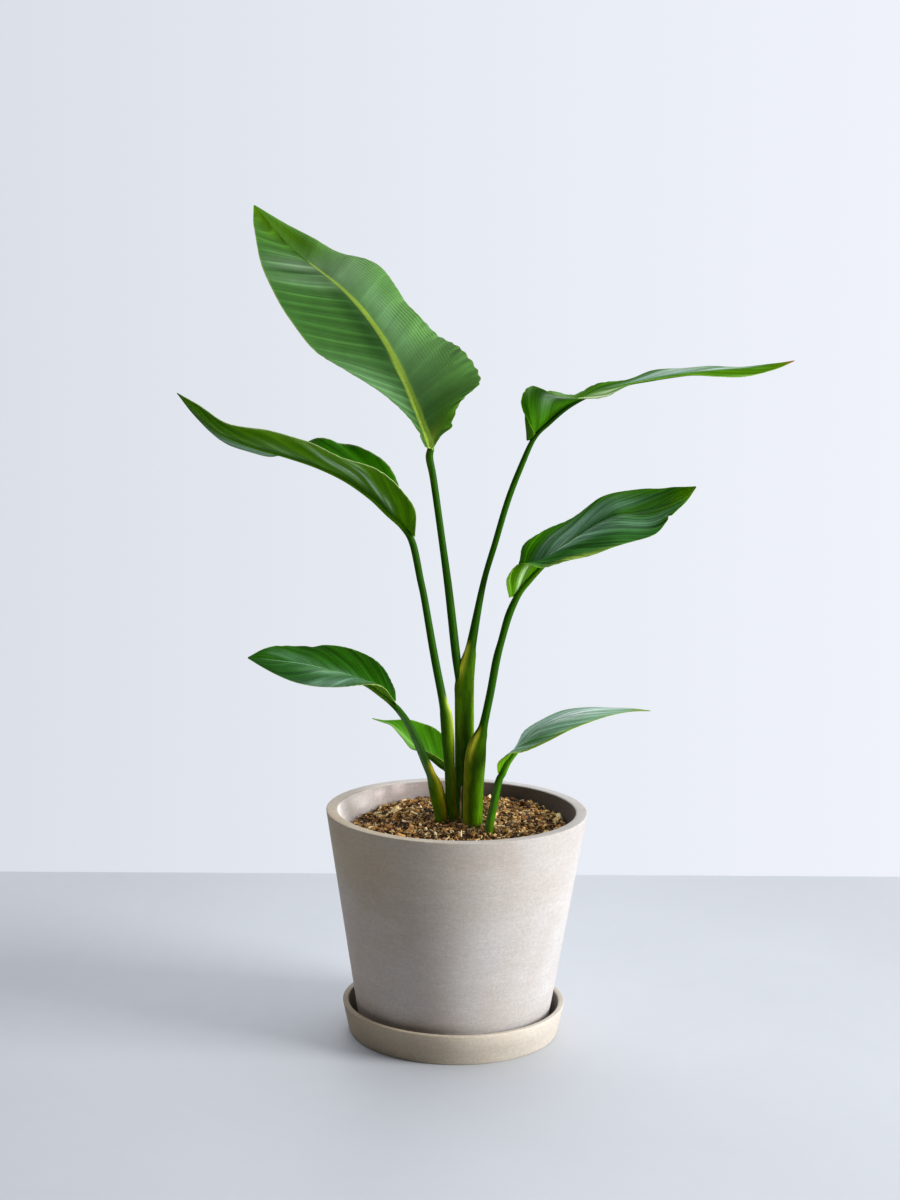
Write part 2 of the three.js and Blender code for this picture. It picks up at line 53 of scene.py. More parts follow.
# Each leaf is drawn through three lines from the base of its blade to its tip: midrib, left
# margin and right margin, as seen from above, looking to the tip. belly arches a half up (+)
# or down (-), as a share of its width, and ripple is [height, count] of the waves along each
# margin. stalk goes up from the soil: x, y, z, half width, half depth; sheath is the height
# where its sheath ends.
LEAVES = {
  "leaf_top": dict(
    midrib=[[-33.5, 0, 674], [-44, 6, 697], [-52.5, 13, 717.5], [-63, 21, 741.5], [-78.5, 31, 772],
      [-96, 42, 800.5], [-117, 54, 827], [-141.5, 66, 851], [-170, 78, 872], [-199.5, 87, 895],
      [-243, 92, 942.5]],
    left=[[-42.5, -3, 677.5], [-60, -2, 708.5], [-87, 2, 733], [-134.5, 8, 762], [-170, 18, 783.5],
      [-196.5, 30, 815], [-216.5, 44, 845.5], [-229.5, 58, 870], [-238, 72, 898], [-243, 84, 921.5]],
    right=[[-30.5, -4, 680.5], [-3.5, -7, 729.5], [18, 4, 751.5], [-1, 26, 783], [-31.5, 46, 801.5],
      [-60.5, 62, 829], [-79.5, 76, 852.5], [-99.5, 88, 877.5], [-141.5, 97, 890.5], [-184, 100, 910.5]],
    stalk=[[4, 14, 202, 3, 3.5], [3.5, 14, 237.5, 3, 3.5], [3, 12, 281, 3, 3.5], [2, 10, 340.5, 3, 4],
      [1, 9, 381.5, 3, 4.5], [-0.5, 8, 408.5, 3.5, 5], [-2, 7, 425, 4.5, 5.5], [-5, 6, 448.5, 5, 5.5],
      [-13.5, 5, 515, 4.5, 4.5], [-22, 3, 572.5, 4, 4], [-32.5, 2, 640, 4, 4], [-37.5, 2, 665, 4.3, 4]],
    belly=[-0.03, 0.06], ripple=[[0.8, 5], [1.8, 7]], sheath=300),
  "leaf_high_left": dict(
    midrib=[[-60.5, 0, 584.5], [-77.5, -2, 599], [-97, -4, 617.5], [-125, -6, 637.5], [-157, -8, 653],
      [-191, -8, 664], [-223, -8, 672], [-250, -8, 680.5], [-276.5, -8, 693], [-299, -8, 713.5],
      [-319, -8, 733]],
    left=[[-52, -4, 576], [-52.5, -24, 610], [-69, -40, 634.5], [-97.5, -46, 657], [-137.5, -46, 669.5],
      [-174, -42, 685.5], [-210.5, -38, 695], [-242, -32, 698.5], [-268.5, -24, 705], [-293.5, -17, 721]],
    right=[[-69, 4, 585], [-69.5, 20, 623], [-84.5, 30, 653.5], [-119, 34, 674], [-157, 36, 682.5],
      [-179.5, 38, 676.5], [-214.5, 32, 661], [-245.5, 24, 667.5], [-276, 14, 682], [-299.5, 4, 706]],
    stalk=[[-2, 2, 205, 5.5, 6.5], [-2.5, 2, 244.5, 6, 6.5], [-7, 1, 273, 5.8, 7], [-9, 0, 309.5, 6, 7],
      [-11.5, -1, 345, 7.3, 7], [-14, -1, 370.5, 7, 6.5], [-18, -1, 389, 5, 5.5], [-29, -1, 442, 4.5, 4.5],
      [-40.5, -1, 504, 4, 4], [-45.5, 0, 526.5, 4, 4], [-55, 0, 568.5, 4, 4]],
    belly=[-0.05, -0.05], ripple=[[0.6, 5], [0.6, 5]], sheath=380),
  "leaf_high_right": dict(
    midrib=[[74.5, 0, 687], [88.5, 0, 701.5], [107, 0, 719], [125.5, 0, 731.5], [149, 0, 743],
      [175.5, 0, 750.5], [206.5, 0, 757], [242, 0, 763], [275.5, 0, 766.5], [312, 0, 770], [342, 0, 773.5],
      [366.5, 0, 780]],
    left=[[71, 4, 686], [70, 26, 731], [95, 38, 739.5], [123, 44, 736], [151, 46, 748], [183.5, 44, 754],
      [215.5, 38, 765], [250, 33, 769], [280.5, 27, 771], [316.5, 18, 772], [344, 8, 776]],
    right=[[80, -5, 694], [63, -22, 728.5], [73, -34, 748.5], [104, -40, 739.5], [151, -42, 737.5],
      [181, -44, 753.5], [211.5, -42, 758.5], [247, -37, 764.5], [277.5, -28, 762], [315, -19, 763.5],
      [344, -9, 770.5]],
    stalk=[[11, 14, 202, 10.5, 7.5], [10, 14, 238, 11, 8], [8.5, 12, 281, 11, 8.5], [7.5, 10, 340.5, 11, 9],
      [6.5, 9, 387.5, 11, 9], [6.2, 8.5, 403, 11.2, 8.8], [7.2, 8, 414, 10.3, 8.4], [8.5, 7, 426.5, 9.6, 8],
      [11.5, 6, 440.5, 7.5, 7], [14, 6, 456.5, 5.5, 5.5], [25.5, 4, 523, 3.5, 4], [38, 2, 570, 3.5, 4],
      [51.5, 1, 619, 3.5, 3.5], [66, 0, 659, 3.3, 3.5]],
    belly=[-0.03, -0.03], ripple=[[0.6, 6], [0.6, 6]], sheath=430),
  "leaf_mid_right": dict(
    midrib=[[61, 0, 510], [73.5, 0, 526.5], [89, 0, 544], [105.5, 0, 561], [128, 0, 577.5], [150, 0, 593.5],
      [172, 0, 604.5], [196.5, 0, 608], [222.5, 0, 615.5], [244.5, 0, 627], [262, 0, 637.5]],
    left=[[60.5, 5, 516.5], [66, 20, 546.5], [71.5, 30, 564.5], [93.5, 36, 581], [120.5, 38, 592],
      [146, 36, 611.5], [170.5, 34, 625.5], [202, 29, 630.5], [226, 20, 633.5], [245, 10, 636]],
    right=[[55, -6, 509], [51.5, -20, 533.5], [64.5, -34, 550.5], [91, -38, 549], [123, -38, 557.5],
      [155, -34, 566.5], [187.5, -28, 577.5], [216.5, -24, 586.5], [232, -18, 605], [249.5, -9, 620]],
    stalk=[[19, -11, 207, 10.5, 8], [18.5, -11, 244.5, 11, 8.5], [18.5, -10, 286.5, 11.5, 8.5],
      [20, -9, 320.5, 12, 8], [22, -8, 339, 10.5, 7.5], [26, -7, 351.5, 7.5, 6.5], [29, -7, 363.5, 5, 5.5],
      [36, -5, 400, 4.5, 4.5], [42, -4, 437, 4.5, 4], [47.5, -3, 460, 4, 4], [55.5, -1, 489.5, 4.3, 4]],
    belly=[0.02, 0.05], ripple=[[0.8, 6], [0.8, 6]], sheath=345),
  "leaf_low_left": dict(
    midrib=[[-73.5, 0, 384.5], [-86.5, 0, 394.5], [-103.5, 0, 406], [-125.5, 0, 415.5], [-147, 0, 420.5],
      [-168.5, 0, 426], [-188, 0, 429], [-207.5, 0, 431], [-224.5, 0, 433], [-240.5, 0, 434]],
    left=[[-70, -3, 383], [-75.5, -14, 393], [-85.5, -26, 408], [-107, -32, 411], [-130.5, -32, 409],
      [-155.5, -28, 407], [-179.5, -23, 410], [-202.5, -16, 416], [-222.5, -8, 424.5]],
    right=[[-71.5, 4, 387], [-74.5, 18, 399.5], [-86.5, 28, 418.5], [-107.5, 33, 434.5], [-133, 33, 442],
      [-158, 30, 445.5], [-182, 26, 443.5], [-203, 18, 446], [-223, 9, 443]],
    stalk=[[-15.5, 2, 205, 7, 6.5], [-17, 2, 246.5, 7.3, 6.5], [-21.5, 1, 272.5, 8.5, 6],
      [-25.5, 0, 289.5, 8, 5.5], [-30, -1, 301.5, 5.5, 5], [-34.5, -1, 312, 5.2, 4.5],
      [-53, -1, 353.5, 4.3, 4], [-66.5, 0, 374, 3.8, 3.5]],
    belly=[0.05, 0.02], ripple=[[0.5, 4], [0.7, 5]], sheath=298),
  "leaf_low_back": dict(
    midrib=[[-8.5, 58, 290.5], [-21.5, 60, 300], [-36, 62, 311], [-52.5, 64, 322.5], [-65.5, 66, 335],
      [-77.5, 68, 344], [-88, 70, 347.5], [-101, 72, 350.5]],
    left=[[-6, 55, 293], [-18, 46, 308], [-34.5, 40, 318.5], [-53, 42, 321.5], [-65, 50, 332.5],
      [-77.5, 60, 344.5], [-88, 67, 347]],
    right=[[-8.5, 62, 295], [-10, 72, 321.5], [-24.5, 80, 336.5], [-43.5, 84, 344], [-60, 82, 348],
      [-74.5, 76, 348.5], [-87, 73, 348.5]],
    stalk=[[-13.5, 16, 196, 3.5, 3.5], [-13, 18, 236.5, 3.5, 3.5], [-11.5, 28, 265, 3.3, 3],
      [-9.5, 46, 280.5, 2.8, 2.8]],
    belly=[0.04, -0.04], ripple=[[0.4, 4], [0.4, 4]], sheath=262),
  "leaf_low_right": dict(
    midrib=[[48.5, -30, 309.5], [54.5, -29, 323.5], [65, -28, 338], [79, -26.5, 352], [94.5, -25.5, 365],
      [116, -24.5, 375], [140.5, -23.5, 381], [169, -22, 384], [193.5, -21, 385], [216.5, -20, 384.5]],
    left=[[50.5, -26, 313.5], [56, -17, 326.5], [66.5, -6, 338], [76.5, -0.5, 355], [95.5, 1.5, 368],
      [118, -0.5, 378.5], [145, -5.5, 384.5], [172, -12, 385.5], [196, -18, 386.5]],
    right=[[45.5, -33, 312.5], [45.5, -42, 326.5], [56, -51, 338], [74, -52.5, 342], [98.5, -49.5, 353],
      [124, -43.5, 365], [149, -36.5, 374.5], [173, -28, 380.5], [196, -23, 384]],
    stalk=[[36.5, -33, 208.5, 5, 5], [36.5, -33, 246, 5, 5], [41.5, -32, 275, 4.7, 4.5],
      [47, -31, 303, 4.2, 4]],
    belly=[0.03, 0.05], ripple=[[0.4, 4], [0.4, 4]], sheath=262),
}
DRY_SHEATH = [[6, -4, 214, 1, 4], [5.5, -4, 242.5, 1, 4], [4.5, -3, 267, 1.2, 3], [5, -2, 289, 0.8, 1]]
TIP_HALF_WIDTH = 0.9
KEEL_END = 0.9           # share of the blade that the raised midrib runs along underneath
KEEL_BASE_SHARE = 0.85   # of the stalk's half width
KEEL_DROP = 0.62         # of its own radius, below the blade
KEEL_TIP_RADIUS = 0.5
KEEL_STEPS = 9
FULL_WIDTH = 30          # a half narrower than this has lower waves and pleats
THICK_AT_RIB, THINNER_AT_EDGE = 1.25, 0.7

# ---------- colour


def linear(rgb):
    """sRGB 0-255 to linear 0-1."""
    c = np.asarray(rgb, float) / 255
    return np.where(c <= 0.04045, c / 12.92, ((c + 0.055) / 1.055) ** 2.4)


def mix(a, b, t):
    t = np.asarray(t, float)
    if t.ndim:
        t = t[..., None]
    return np.asarray(a) * (1 - t) + np.asarray(b) * t


def ramp(low, high, x):
    """0 below low, 1 above high, and a smooth step between."""
    t = np.clip((np.asarray(x, float) - low) / (high - low), 0, 1)
    return t * t * (3 - 2 * t)


def bell(x):
    """1 at 0, falling smoothly to 0 on both sides."""
    return np.exp(-np.square(x))


# What each leaf looks like: greens of the upper side and the underside for the left and
# right half, the rib, the keel and the margin line, margin_reach (mm), rib_width (mm at the
# base), rib_end (share of the length); some upper greens carry painted sheen. pleats of each
# half: [height mm, count, lean, pale crest, shade], where pale crest is a pale line on each
# crest, partly vein colour and partly painted highlight, with painted shade beside it, shade is
# the painted shade of the pleats, darker in their troughs and lighter on their crests, lean is
# the share of the length that a vein runs toward the tip on its way to the margin, and tip_lean
# is added to it near the tip.
# The upper and under patches, in per cent: [along, across, reach over the veins, reach along
# the veins, colour, strength], where across is -100 at the left margin and 100 at the right.
# The pale grey-green and near-white ones are painted sheen, the darkest ones painted shade, and
# the rest the leaf's own colour, such as its yellow-green parts and the brown tip.
# folds: [half, share, depth mm, reach]. nicks in the margin: [half, share, depth, reach].
# lobe that pushes the margin toward the base: [half, share, mm, reach].
# stalk is the patches on it: [angle, half spread, from height, to height, colour, strength]; the
# angle goes round the stalk, 0 right, 90 back, 180 left, 270 front. They are partly painted
# light and partly the stalks' own colour: painted highlight and lighter green toward the window
# side, on pale blue-green edges and on the pale yellow sheath tops, painted shade in dark green
# on the far side, and own yellow and brown tones near the sheaths.
GREENS = {
  "leaf_top": dict(
    stalk=[[200, 40, 640, 690, (150, 180, 60), 0.5]],
    # leaf_top's upper right half is lighter by painted sheen
    upper=[(70, 118, 52), (104, 156, 82)], under=[(92, 134, 40)] * 2, rib=(170, 204, 78),
    margin=(150, 178, 80), rib_width=14.5, rib_end=0.88, tip_lean=(-0.11, 0),
    pleats=[[0.55, 19, 0.03, 0.36, 0.16], [0.14, 10, 0.04, 0.1, 0.09]],
    upper_tone_and_light=[[78, -20, 5, 70, (142, 166, 138), 65], [74, 40, 6, 60, (136, 166, 126), 60],
      [91, 50, 13, 55, (58, 100, 0), 100], [97, -40, 8, 80, (82, 128, 4), 90],
      [100, -50, 3, 80, (90, 136, 0), 80], [52, -12, 22, 16, (40, 80, 26), 85],
      [73.5, -50, 1.6, 50, (38, 82, 16), 85], [69, -50, 2.2, 50, (130, 170, 122), 50],
      [24, -60, 12, 50, (124, 168, 118), 60], [12, 60, 14, 70, (86, 142, 46), 80],
      [55, 35, 20, 30, (138, 184, 134), 50], [2, 5, 4, 45, (196, 222, 70), 90],
      [7, 90, 5, 40, (96, 156, 30), 80], [42, 75, 10, 30, (120, 174, 96), 50]],
    nicks=[[1, 0.08, 0.06, 0.004], [1, 0.062, 0.08, 0.004], [1, 0.02, 0.12, 0.004],
           [0, 0.05, 0.25, 0.007]], lobe=[1, 0.052, 8, 0.022]),
  "leaf_high_left": dict(
    stalk=[[345, 34, 344, 392, (214, 226, 84), 0.9], [332, 30, 292, 356, (150, 172, 0), 0.85],
      [318, 32, 236, 310, (150, 150, 10), 0.8], [230, 40, 240, 392, (46, 92, 0), 0.8]],
    upper=[(52, 120, 2), (52, 120, 2)], under=[(86, 142, 0), (72, 126, 14)], rib=(48, 92, 6),
    margin=(214, 236, 160), margin_reach=1.6, rib_width=3.4, rib_end=0.95,
    pleats=[[0.4, 8, 0.3, 0.1, 0.2], [0.5, 8, 0.3, 0, 0.2]],
    upper_tone_and_light=[[35, 70, 2, 40, (18, 60, 0), 80]],
    under_tone_and_light=[[25, -44, 1.1, 26, (214, 238, 218), 90], [28.5, -60, 1.8, 14, (140, 188, 120), 70],
      [32, -74, 0.9, 14, (52, 100, 12), 80], [35, -90, 1.2, 12, (190, 222, 170), 70],
      [34, -50, 0.9, 20, (196, 226, 194), 80], [37.5, -45, 1.2, 14, (60, 108, 20), 70],
      [16, -30, 1.4, 12, (190, 222, 190), 70], [41, -62, 2, 30, (180, 216, 172), 70],
      [56, -34, 3, 20, (132, 182, 100), 70], [66, 45, 16, 50, (150, 186, 156), 90],
      [80, -10, 12, 14, (112, 150, 84), 60], [55, -10, 30, 6, (42, 88, 0), 80],
      [82, -70, 20, 50, (64, 122, 0), 90], [16, -90, 12, 30, (66, 122, 0), 85],
      [50, -92, 18, 12, (120, 172, 36), 60], [20, -12, 16, 12, (46, 92, 6), 80]],
    folds=[[1, 0.35, -4.0, 0.025]]),
  "leaf_high_right": dict(
    stalk=[[190, 34, 250, 446, (54, 102, 0), 0.85], [230, 20, 416, 454, (255, 255, 70), 1.0],
      [238, 20, 340, 416, (110, 146, 10), 0.6], [275, 24, 240, 420, (44, 88, 0), 0.8],
      [335, 26, 240, 446, (112, 168, 6), 0.7]],
    upper=[(78, 134, 30), (92, 152, 40)], under=[(64, 122, 10), (62, 120, 16)],
    rib=(60, 110, 20), keel=(22, 58, 0), margin=(140, 176, 30), rib_width=3.0, rib_end=0.95,
    pleats=[[0.4, 10, 0.2, 0.1, 0.22], [0.4, 10, 0.2, 0.1, 0.22]],
    upper_tone_and_light=[[38.5, -42, 5.5, 42, (50, 100, 0), 100], [34.5, 75, 4.5, 35, (226, 244, 196), 100],
      [40, 42, 4.5, 20, (206, 232, 176), 95], [57, -45, 10, 55, (168, 202, 184), 100],
      [52, 55, 6, 40, (84, 142, 20), 90], [64, -90, 6, 30, (196, 216, 200), 80],
      [66, 45, 6, 45, (70, 130, 14), 95], [76, -60, 7, 40, (186, 212, 190), 100],
      [80, 40, 9, 60, (84, 140, 4), 95], [76, 98, 8, 14, (166, 200, 110), 70],
      [93, 0, 6, 120, (98, 146, 0), 95], [24, -90, 6, 40, (128, 172, 110), 80],
      [100, 0, 3.2, 120, (206, 104, 34), 100]],
    under_tone_and_light=[[27.5, 85, 3.5, 30, (206, 232, 200), 95], [21, 62, 3, 20, (142, 184, 134), 50],
      [17, 97, 3.5, 12, (130, 178, 100), 80], [8, 80, 7, 35, (34, 88, 0), 95],
      [19, 4, 16, 9, (28, 66, 0), 100], [8, -50, 12, 60, (40, 84, 0), 90],
      [100, 0, 3.2, 120, (206, 104, 34), 100]]),
  "leaf_mid_right": dict(
    stalk=[[215, 34, 240, 340, (140, 158, 6), 0.9], [194, 12, 240, 350, (196, 176, 90), 0.5],
      [240, 15, 326, 358, (250, 248, 70), 0.95], [268, 22, 236, 330, (58, 102, 0), 0.8],
      [320, 30, 236, 350, (70, 122, 0), 0.6]],
    upper=[(60, 118, 44), (58, 114, 48)], under=[(58, 108, 0), (66, 118, 4)], rib=(20, 62, 10),
    margin=(120, 170, 40), rib_width=3.4, rib_end=0.9,
    pleats=[[0.35, 9, 0.4, 0.12, 0.14], [0.45, 9, 0.4, 0.14, 0.18]],
    upper_tone_and_light=[[19, -72, 11, 45, (82, 162, 6), 95], [23.5, -45, 2, 30, (34, 90, 0), 60],
      [66, -92, 24, 24, (74, 136, 14), 95], [94, -10, 11, 120, (92, 154, 0), 95],
      [71, -38, 6, 14, (38, 98, 8), 60], [97, 80, 5, 70, (96, 150, 0), 80],
      [42, -42, 10, 30, (152, 200, 168), 90], [34, -12, 5, 20, (160, 200, 168), 85],
      [31, -55, 1.8, 30, (182, 216, 196), 70], [56, -30, 12, 22, (128, 176, 140), 80],
      [46, 30, 14, 14, (136, 184, 150), 80], [67, 52, 10, 28, (118, 168, 126), 80],
      [40, 62, 15, 6, (40, 92, 20), 60], [72, 12, 12, 6, (36, 86, 24), 80],
      [30, 35, 5, 20, (44, 94, 36), 70], [81, 97, 5, 20, (60, 110, 0), 90],
      [43, 99, 9, 9, (186, 214, 90), 85], [10, 80, 9, 50, (140, 176, 60), 70],
      [34, 13, 26, 6, (176, 210, 184), 80], [90, -60, 8, 40, (74, 138, 0), 80]],
    under_tone_and_light=[[9, 85, 3, 30, (122, 164, 60), 80], [16.5, 75, 2, 25, (40, 76, 0), 90],
      [12, 34, 4.5, 22, (182, 218, 146), 85]],
    nicks=[[1, 0.8, 0.14, 0.008]]),
  "leaf_low_left": dict(
    stalk=[[322, 36, 246, 314, (226, 214, 40), 0.9], [352, 14, 236, 300, (170, 140, 52), 0.8],
      [240, 50, 240, 300, (84, 128, 0), 0.7], [232, 30, 300, 376, (118, 170, 108), 0.75]],
    upper=[(48, 100, 36), (40, 94, 14)], under=[(100, 152, 30), (88, 140, 30)], rib=(132, 174, 132),
    margin=(150, 186, 90), rib_width=2.4, rib_end=0.92,
    pleats=[[0.4, 8, 0.38, 0.2, 0.2], [0.4, 8, 0.38, 0.16, 0.15]],
    upper_tone_and_light=[[70, 30, 10, 40, (92, 142, 96), 70], [45, -20, 12, 25, (120, 166, 126), 80],
      [30, 70, 14, 45, (36, 90, 0), 90], [56, 85, 12, 25, (34, 86, 4), 70],
      [50, -85, 12, 30, (138, 184, 152), 80], [80, -70, 10, 30, (44, 94, 34), 60],
      [16, -97, 12, 12, (196, 214, 120), 90]],
    nicks=[[1, 0.6, 0.1, 0.035], [1, 0.78, 0.05, 0.02]]),
  "leaf_low_back": dict(
    upper=[(80, 142, 20), (66, 126, 14)], under=[(84, 140, 24)] * 2, rib=(104, 158, 44),
    margin=(160, 196, 84), rib_width=1.8, rib_end=0.9,
    pleats=[[0.25, 6, 0.3, 0.1, 0.08], [0.25, 6, 0.3, 0.1, 0.08]],
    upper_tone_and_light=[[55, -50, 25, 50, (140, 186, 104), 70]]),
  "leaf_low_right": dict(
    stalk=[[280, 60, 240, 400, (66, 130, 10), 0.7], [225, 30, 244, 300, (120, 162, 84), 0.6]],
    # leaf_low_right's pale blue-green upper side is partly its own colour and partly painted sheen
    upper=[(158, 196, 174), (134, 178, 144)], under=[(96, 150, 20)] * 2, rib=(84, 136, 84),
    margin=(150, 178, 10), rib_width=1.9, rib_end=0.9,
    pleats=[[0.32, 7, 0.4, 0.2, 0.26], [0.32, 7, 0.4, 0.2, 0.3]],
    upper_tone_and_light=[[64, -20, 12, 60, (222, 238, 232), 85], [38, 55, 7, 30, (60, 122, 30), 90],
      [30, -20, 14, 10, (78, 132, 84), 70], [50, -95, 25, 20, (72, 134, 54), 70],
      [95, 0, 13, 120, (122, 142, 44), 90], [40, 98, 40, 10, (124, 160, 0), 90],
      [20, -40, 8, 40, (186, 210, 196), 70]]),
}
STALK_GREEN = (38, 86, 0)
SHEATH_GREEN = (78, 120, 0)
FOOT_BROWN = (96, 84, 34)

# ---------- curves and meshes


def unit(v):
    return v / np.maximum(np.linalg.norm(v, axis=-1, keepdims=True), 1e-12)


def through(points, t):
    """Points and tangents at t (0-1) on a Catmull-Rom curve through points."""
    p = np.asarray(points, float)
    p = np.vstack([2 * p[0] - p[1], p, 2 * p[-1] - p[-2]])
    spans = len(p) - 3
    s = np.clip(np.asarray(t, float) * spans, 0, spans - 1e-9)
    k = s.astype(int)
    w = (s - k)[..., None]
    a, b, c, d = p[k], p[k + 1], p[k + 2], p[k + 3]
    u, v = (c - a) / 2, (d - b) / 2
    square, cube = 3 * (c - b) - 2 * u - v, 2 * (b - c) + u + v
    return b + u * w + square * w**2 + cube * w**3, unit(u + 2 * square * w + 3 * cube * w**2)


def run_lengths(points):
    """The length along a line of points, from its start to each of them."""
    steps = np.linalg.norm(np.diff(points, axis=0), axis=1)
    return np.concatenate([[0], np.cumsum(steps)])[:, None]


def grid_faces(rows, columns, closed=False, start=0):
    """Quads of a grid numbered row by row; closed joins the last column to the first."""
    i = np.arange(rows - 1)[:, None]
    j = np.arange(columns if closed else columns - 1)[None, :]
    a, b = i * columns + j, i * columns + (j + 1) % columns
    return (np.stack([a, b, b + columns, a + columns], -1) + start).reshape(-1, 4)


def new_object(name, data):
    thing = bpy.data.objects.new(name, data)
    bpy.context.scene.collection.objects.link(thing)
    return thing


def make_mesh(name, vertices, faces, tint, veins=None, sharp=None):
    """A mesh object from vertices in mm, with a colour and on leaves a vector per vertex."""
    mesh = bpy.data.meshes.new(name)
    mesh.from_pydata((np.asarray(vertices) * MM).tolist(), [], [list(map(int, f)) for f in faces])
    tint = np.hstack([tint, np.ones((len(tint), 1))]).astype(np.float32)
    mesh.attributes.new("tint", "FLOAT_COLOR", "POINT").data.foreach_set("color", tint.ravel())
    if veins is not None:
        layer = mesh.attributes.new("veins", "FLOAT_VECTOR", "POINT")
        layer.data.foreach_set("vector", veins.astype(np.float32).ravel())
    mesh.validate()
    mesh.update()
    mesh.shade_smooth()
    if sharp:
        mesh.set_sharp_from_angle(angle=math.radians(sharp))
    return new_object(name, mesh)


def place_piece(thing, material, replaced):
    """Fixes a piece to the part's body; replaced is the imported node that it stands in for."""
    thing.data.materials.append(material)
    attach(thing, "root")
    if replaced:
        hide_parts(replaced)


def tube_faces(rings, sides):
    """Faces of a tube numbered ring by ring, with a cap at both ends."""
    ends = [list(range(sides))[::-1], [(rings - 1) * sides + k for k in range(sides)]]
    return [list(f) for f in grid_faces(rings, sides, closed=True)] + ends


def tube(stations, rings, sides):
    """A body of elliptic sections through stations [x, y, z, half width, half depth]."""
    s = np.asarray(stations, float)
    t = np.linspace(0, 1, rings)
    centre, along = through(s[:, :3], t)
    sizes = np.maximum(through(s[:, [3, 4, 3]], t)[0], 0.3)
    side = unit(np.cross([0, 1, 0], along))
    back = np.cross(along, side)
    angle = TAU * np.arange(sides) / sides
    ring = (side[:, None] * (sizes[:, 0:1] * np.cos(angle))[..., None]
            + back[:, None] * (sizes[:, 1:2] * np.sin(angle))[..., None])
    return (centre[:, None] + ring).reshape(-1, 3), tube_faces(rings, sides), t, angle, centre


# ---------- leaves


def leaf_lines(leaf):
    """The midrib and both margins; the margins end beside the midrib's last point."""
    midrib = np.asarray(leaf["midrib"], float)
    margins = []
    for side in ("left", "right"):
        points = np.asarray(leaf[side], float)
        out = points[-1] - midrib[-2]
        out *= TIP_HALF_WIDTH / np.linalg.norm(out)
        margins.append(np.vstack([points, midrib[-1] + out]))
    return midrib, margins


def half_normal(midrib, margin, side, t):
    middle, along = through(midrib, t)
    out = through(margin, t)[0] - middle
    return unit(np.cross(out, along) if side else np.cross(along, out))


def half_blade(leaf, look, side, frill_height, u, v, rib_half):
    """One half from the rib out: points, width, pleat shade, crest lines, lean of the veins."""
    t = u[:, 0]
    midrib, margins = leaf_lines(leaf)
    middle, along = through(midrib, t)
    edge = through(margins[side], t)[0]
    width = np.linalg.norm(edge - middle, axis=1)[:, None]
    normal = half_normal(midrib, margins[side], side, t)
    fade = np.minimum(1, width / FULL_WIDTH)
    wave_height, wave_count = leaf["ripple"][side]
    pleat_height, pleat_count, lean, crest_tint, shade = look["pleats"][side]
    lean = lean + look.get("tip_lean", (0, 0))[side] * ramp(0.35, 0.85, u)

    # a vein leaves the rib and runs toward the tip on its way to the margin
    phase = u - lean * v + 0.006 * np.sin(23 * u + 5 * side) + 0.004 * np.sin(41 * u + 3 * v)
    swell = 0.8 * np.sin(TAU * pleat_count * phase)
    swell = swell + 0.2 * np.sin(2.3 * TAU * pleat_count * phase + 1 + 2 * side)
    mask = ramp(0.02, 0.15, v) * (1 - 0.7 * ramp(0.8, 1, v)) * ramp(0, 0.08, u) * (1 - ramp(0.88, 1, u))

    rise = leaf["belly"][side] * width * 4 * v * (1 - v)
    rise += wave_height * fade * v**3 * np.sin(TAU * wave_count * u)
    rise += pleat_height * fade * mask * swell
    rise += 0.16 * rib_half * bell(v * width / rib_half) * (1 - ramp(0.85, 1, u / look["rib_end"]))
    torn = frill_height * fade * (1 - 0.85 * ramp(0.34, 0.5, u))
    rise += torn * ramp(0.72, 1, v) * (
        np.sin(TAU * 31 * u + 2 * np.sin(11 * u)) + 0.6 * np.sin(TAU * 53 * u))
    for half, at, depth, reach in look.get("folds", []):
        if half == side:
            rise += depth * bell((u - at - lean * (v - 1)) / reach) * ramp(0.2, 0.9, v) * fade

    spread = 1 + 0.012 * torn * np.sin(TAU * 37 * u + 3 * np.sin(7 * u)) * v
    for half, at, depth, reach in look.get("nicks", []):
        if half == side:
            spread = spread - depth * bell((u - at) / reach) * v**4
    half, at, size, reach = look.get("lobe", [side, 0, 0, 1])
    lobe = size * (half == side) * bell((u - at) / reach) * v**3
    points = (middle[:, None, :] + (edge - middle)[:, None, :] * (v * spread)[..., None]
              + normal[:, None, :] * rise[..., None] - along[:, None, :] * lobe[..., None])

    # crest lines: a pale line on each pleat's crest, partly vein colour and partly painted highlight, with
    # painted shade just beside it
    crest = (pleat_count * phase - 0.25 + 0.5) % 1 - 0.5
    line = bell(crest / 0.07) - 0.6 * bell((crest - 0.17) / 0.1)
    return points, width, shade * mask * swell, crest_tint * mask * line, lean


def shell_faces(rows, count):
    """Faces of two grids of points, the lower numbered after the upper, closed all round."""
    size = rows * count
    faces = list(grid_faces(rows, count)) + [f[::-1] for f in grid_faces(rows, count, start=size)]
    for i in range(rows - 1):
        left, right = i * count, i * count + count - 1
        faces.append([left, left + count, size + left + count, size + left])
        faces.append([right, size + right, size + right + count, right + count])
    last = (rows - 1) * count
    for j in range(count - 1):
        faces.append([j, size + j, size + j + 1, j + 1])
        faces.append([last + j, last + j + 1, size + last + j + 1, size + last + j])
    return faces


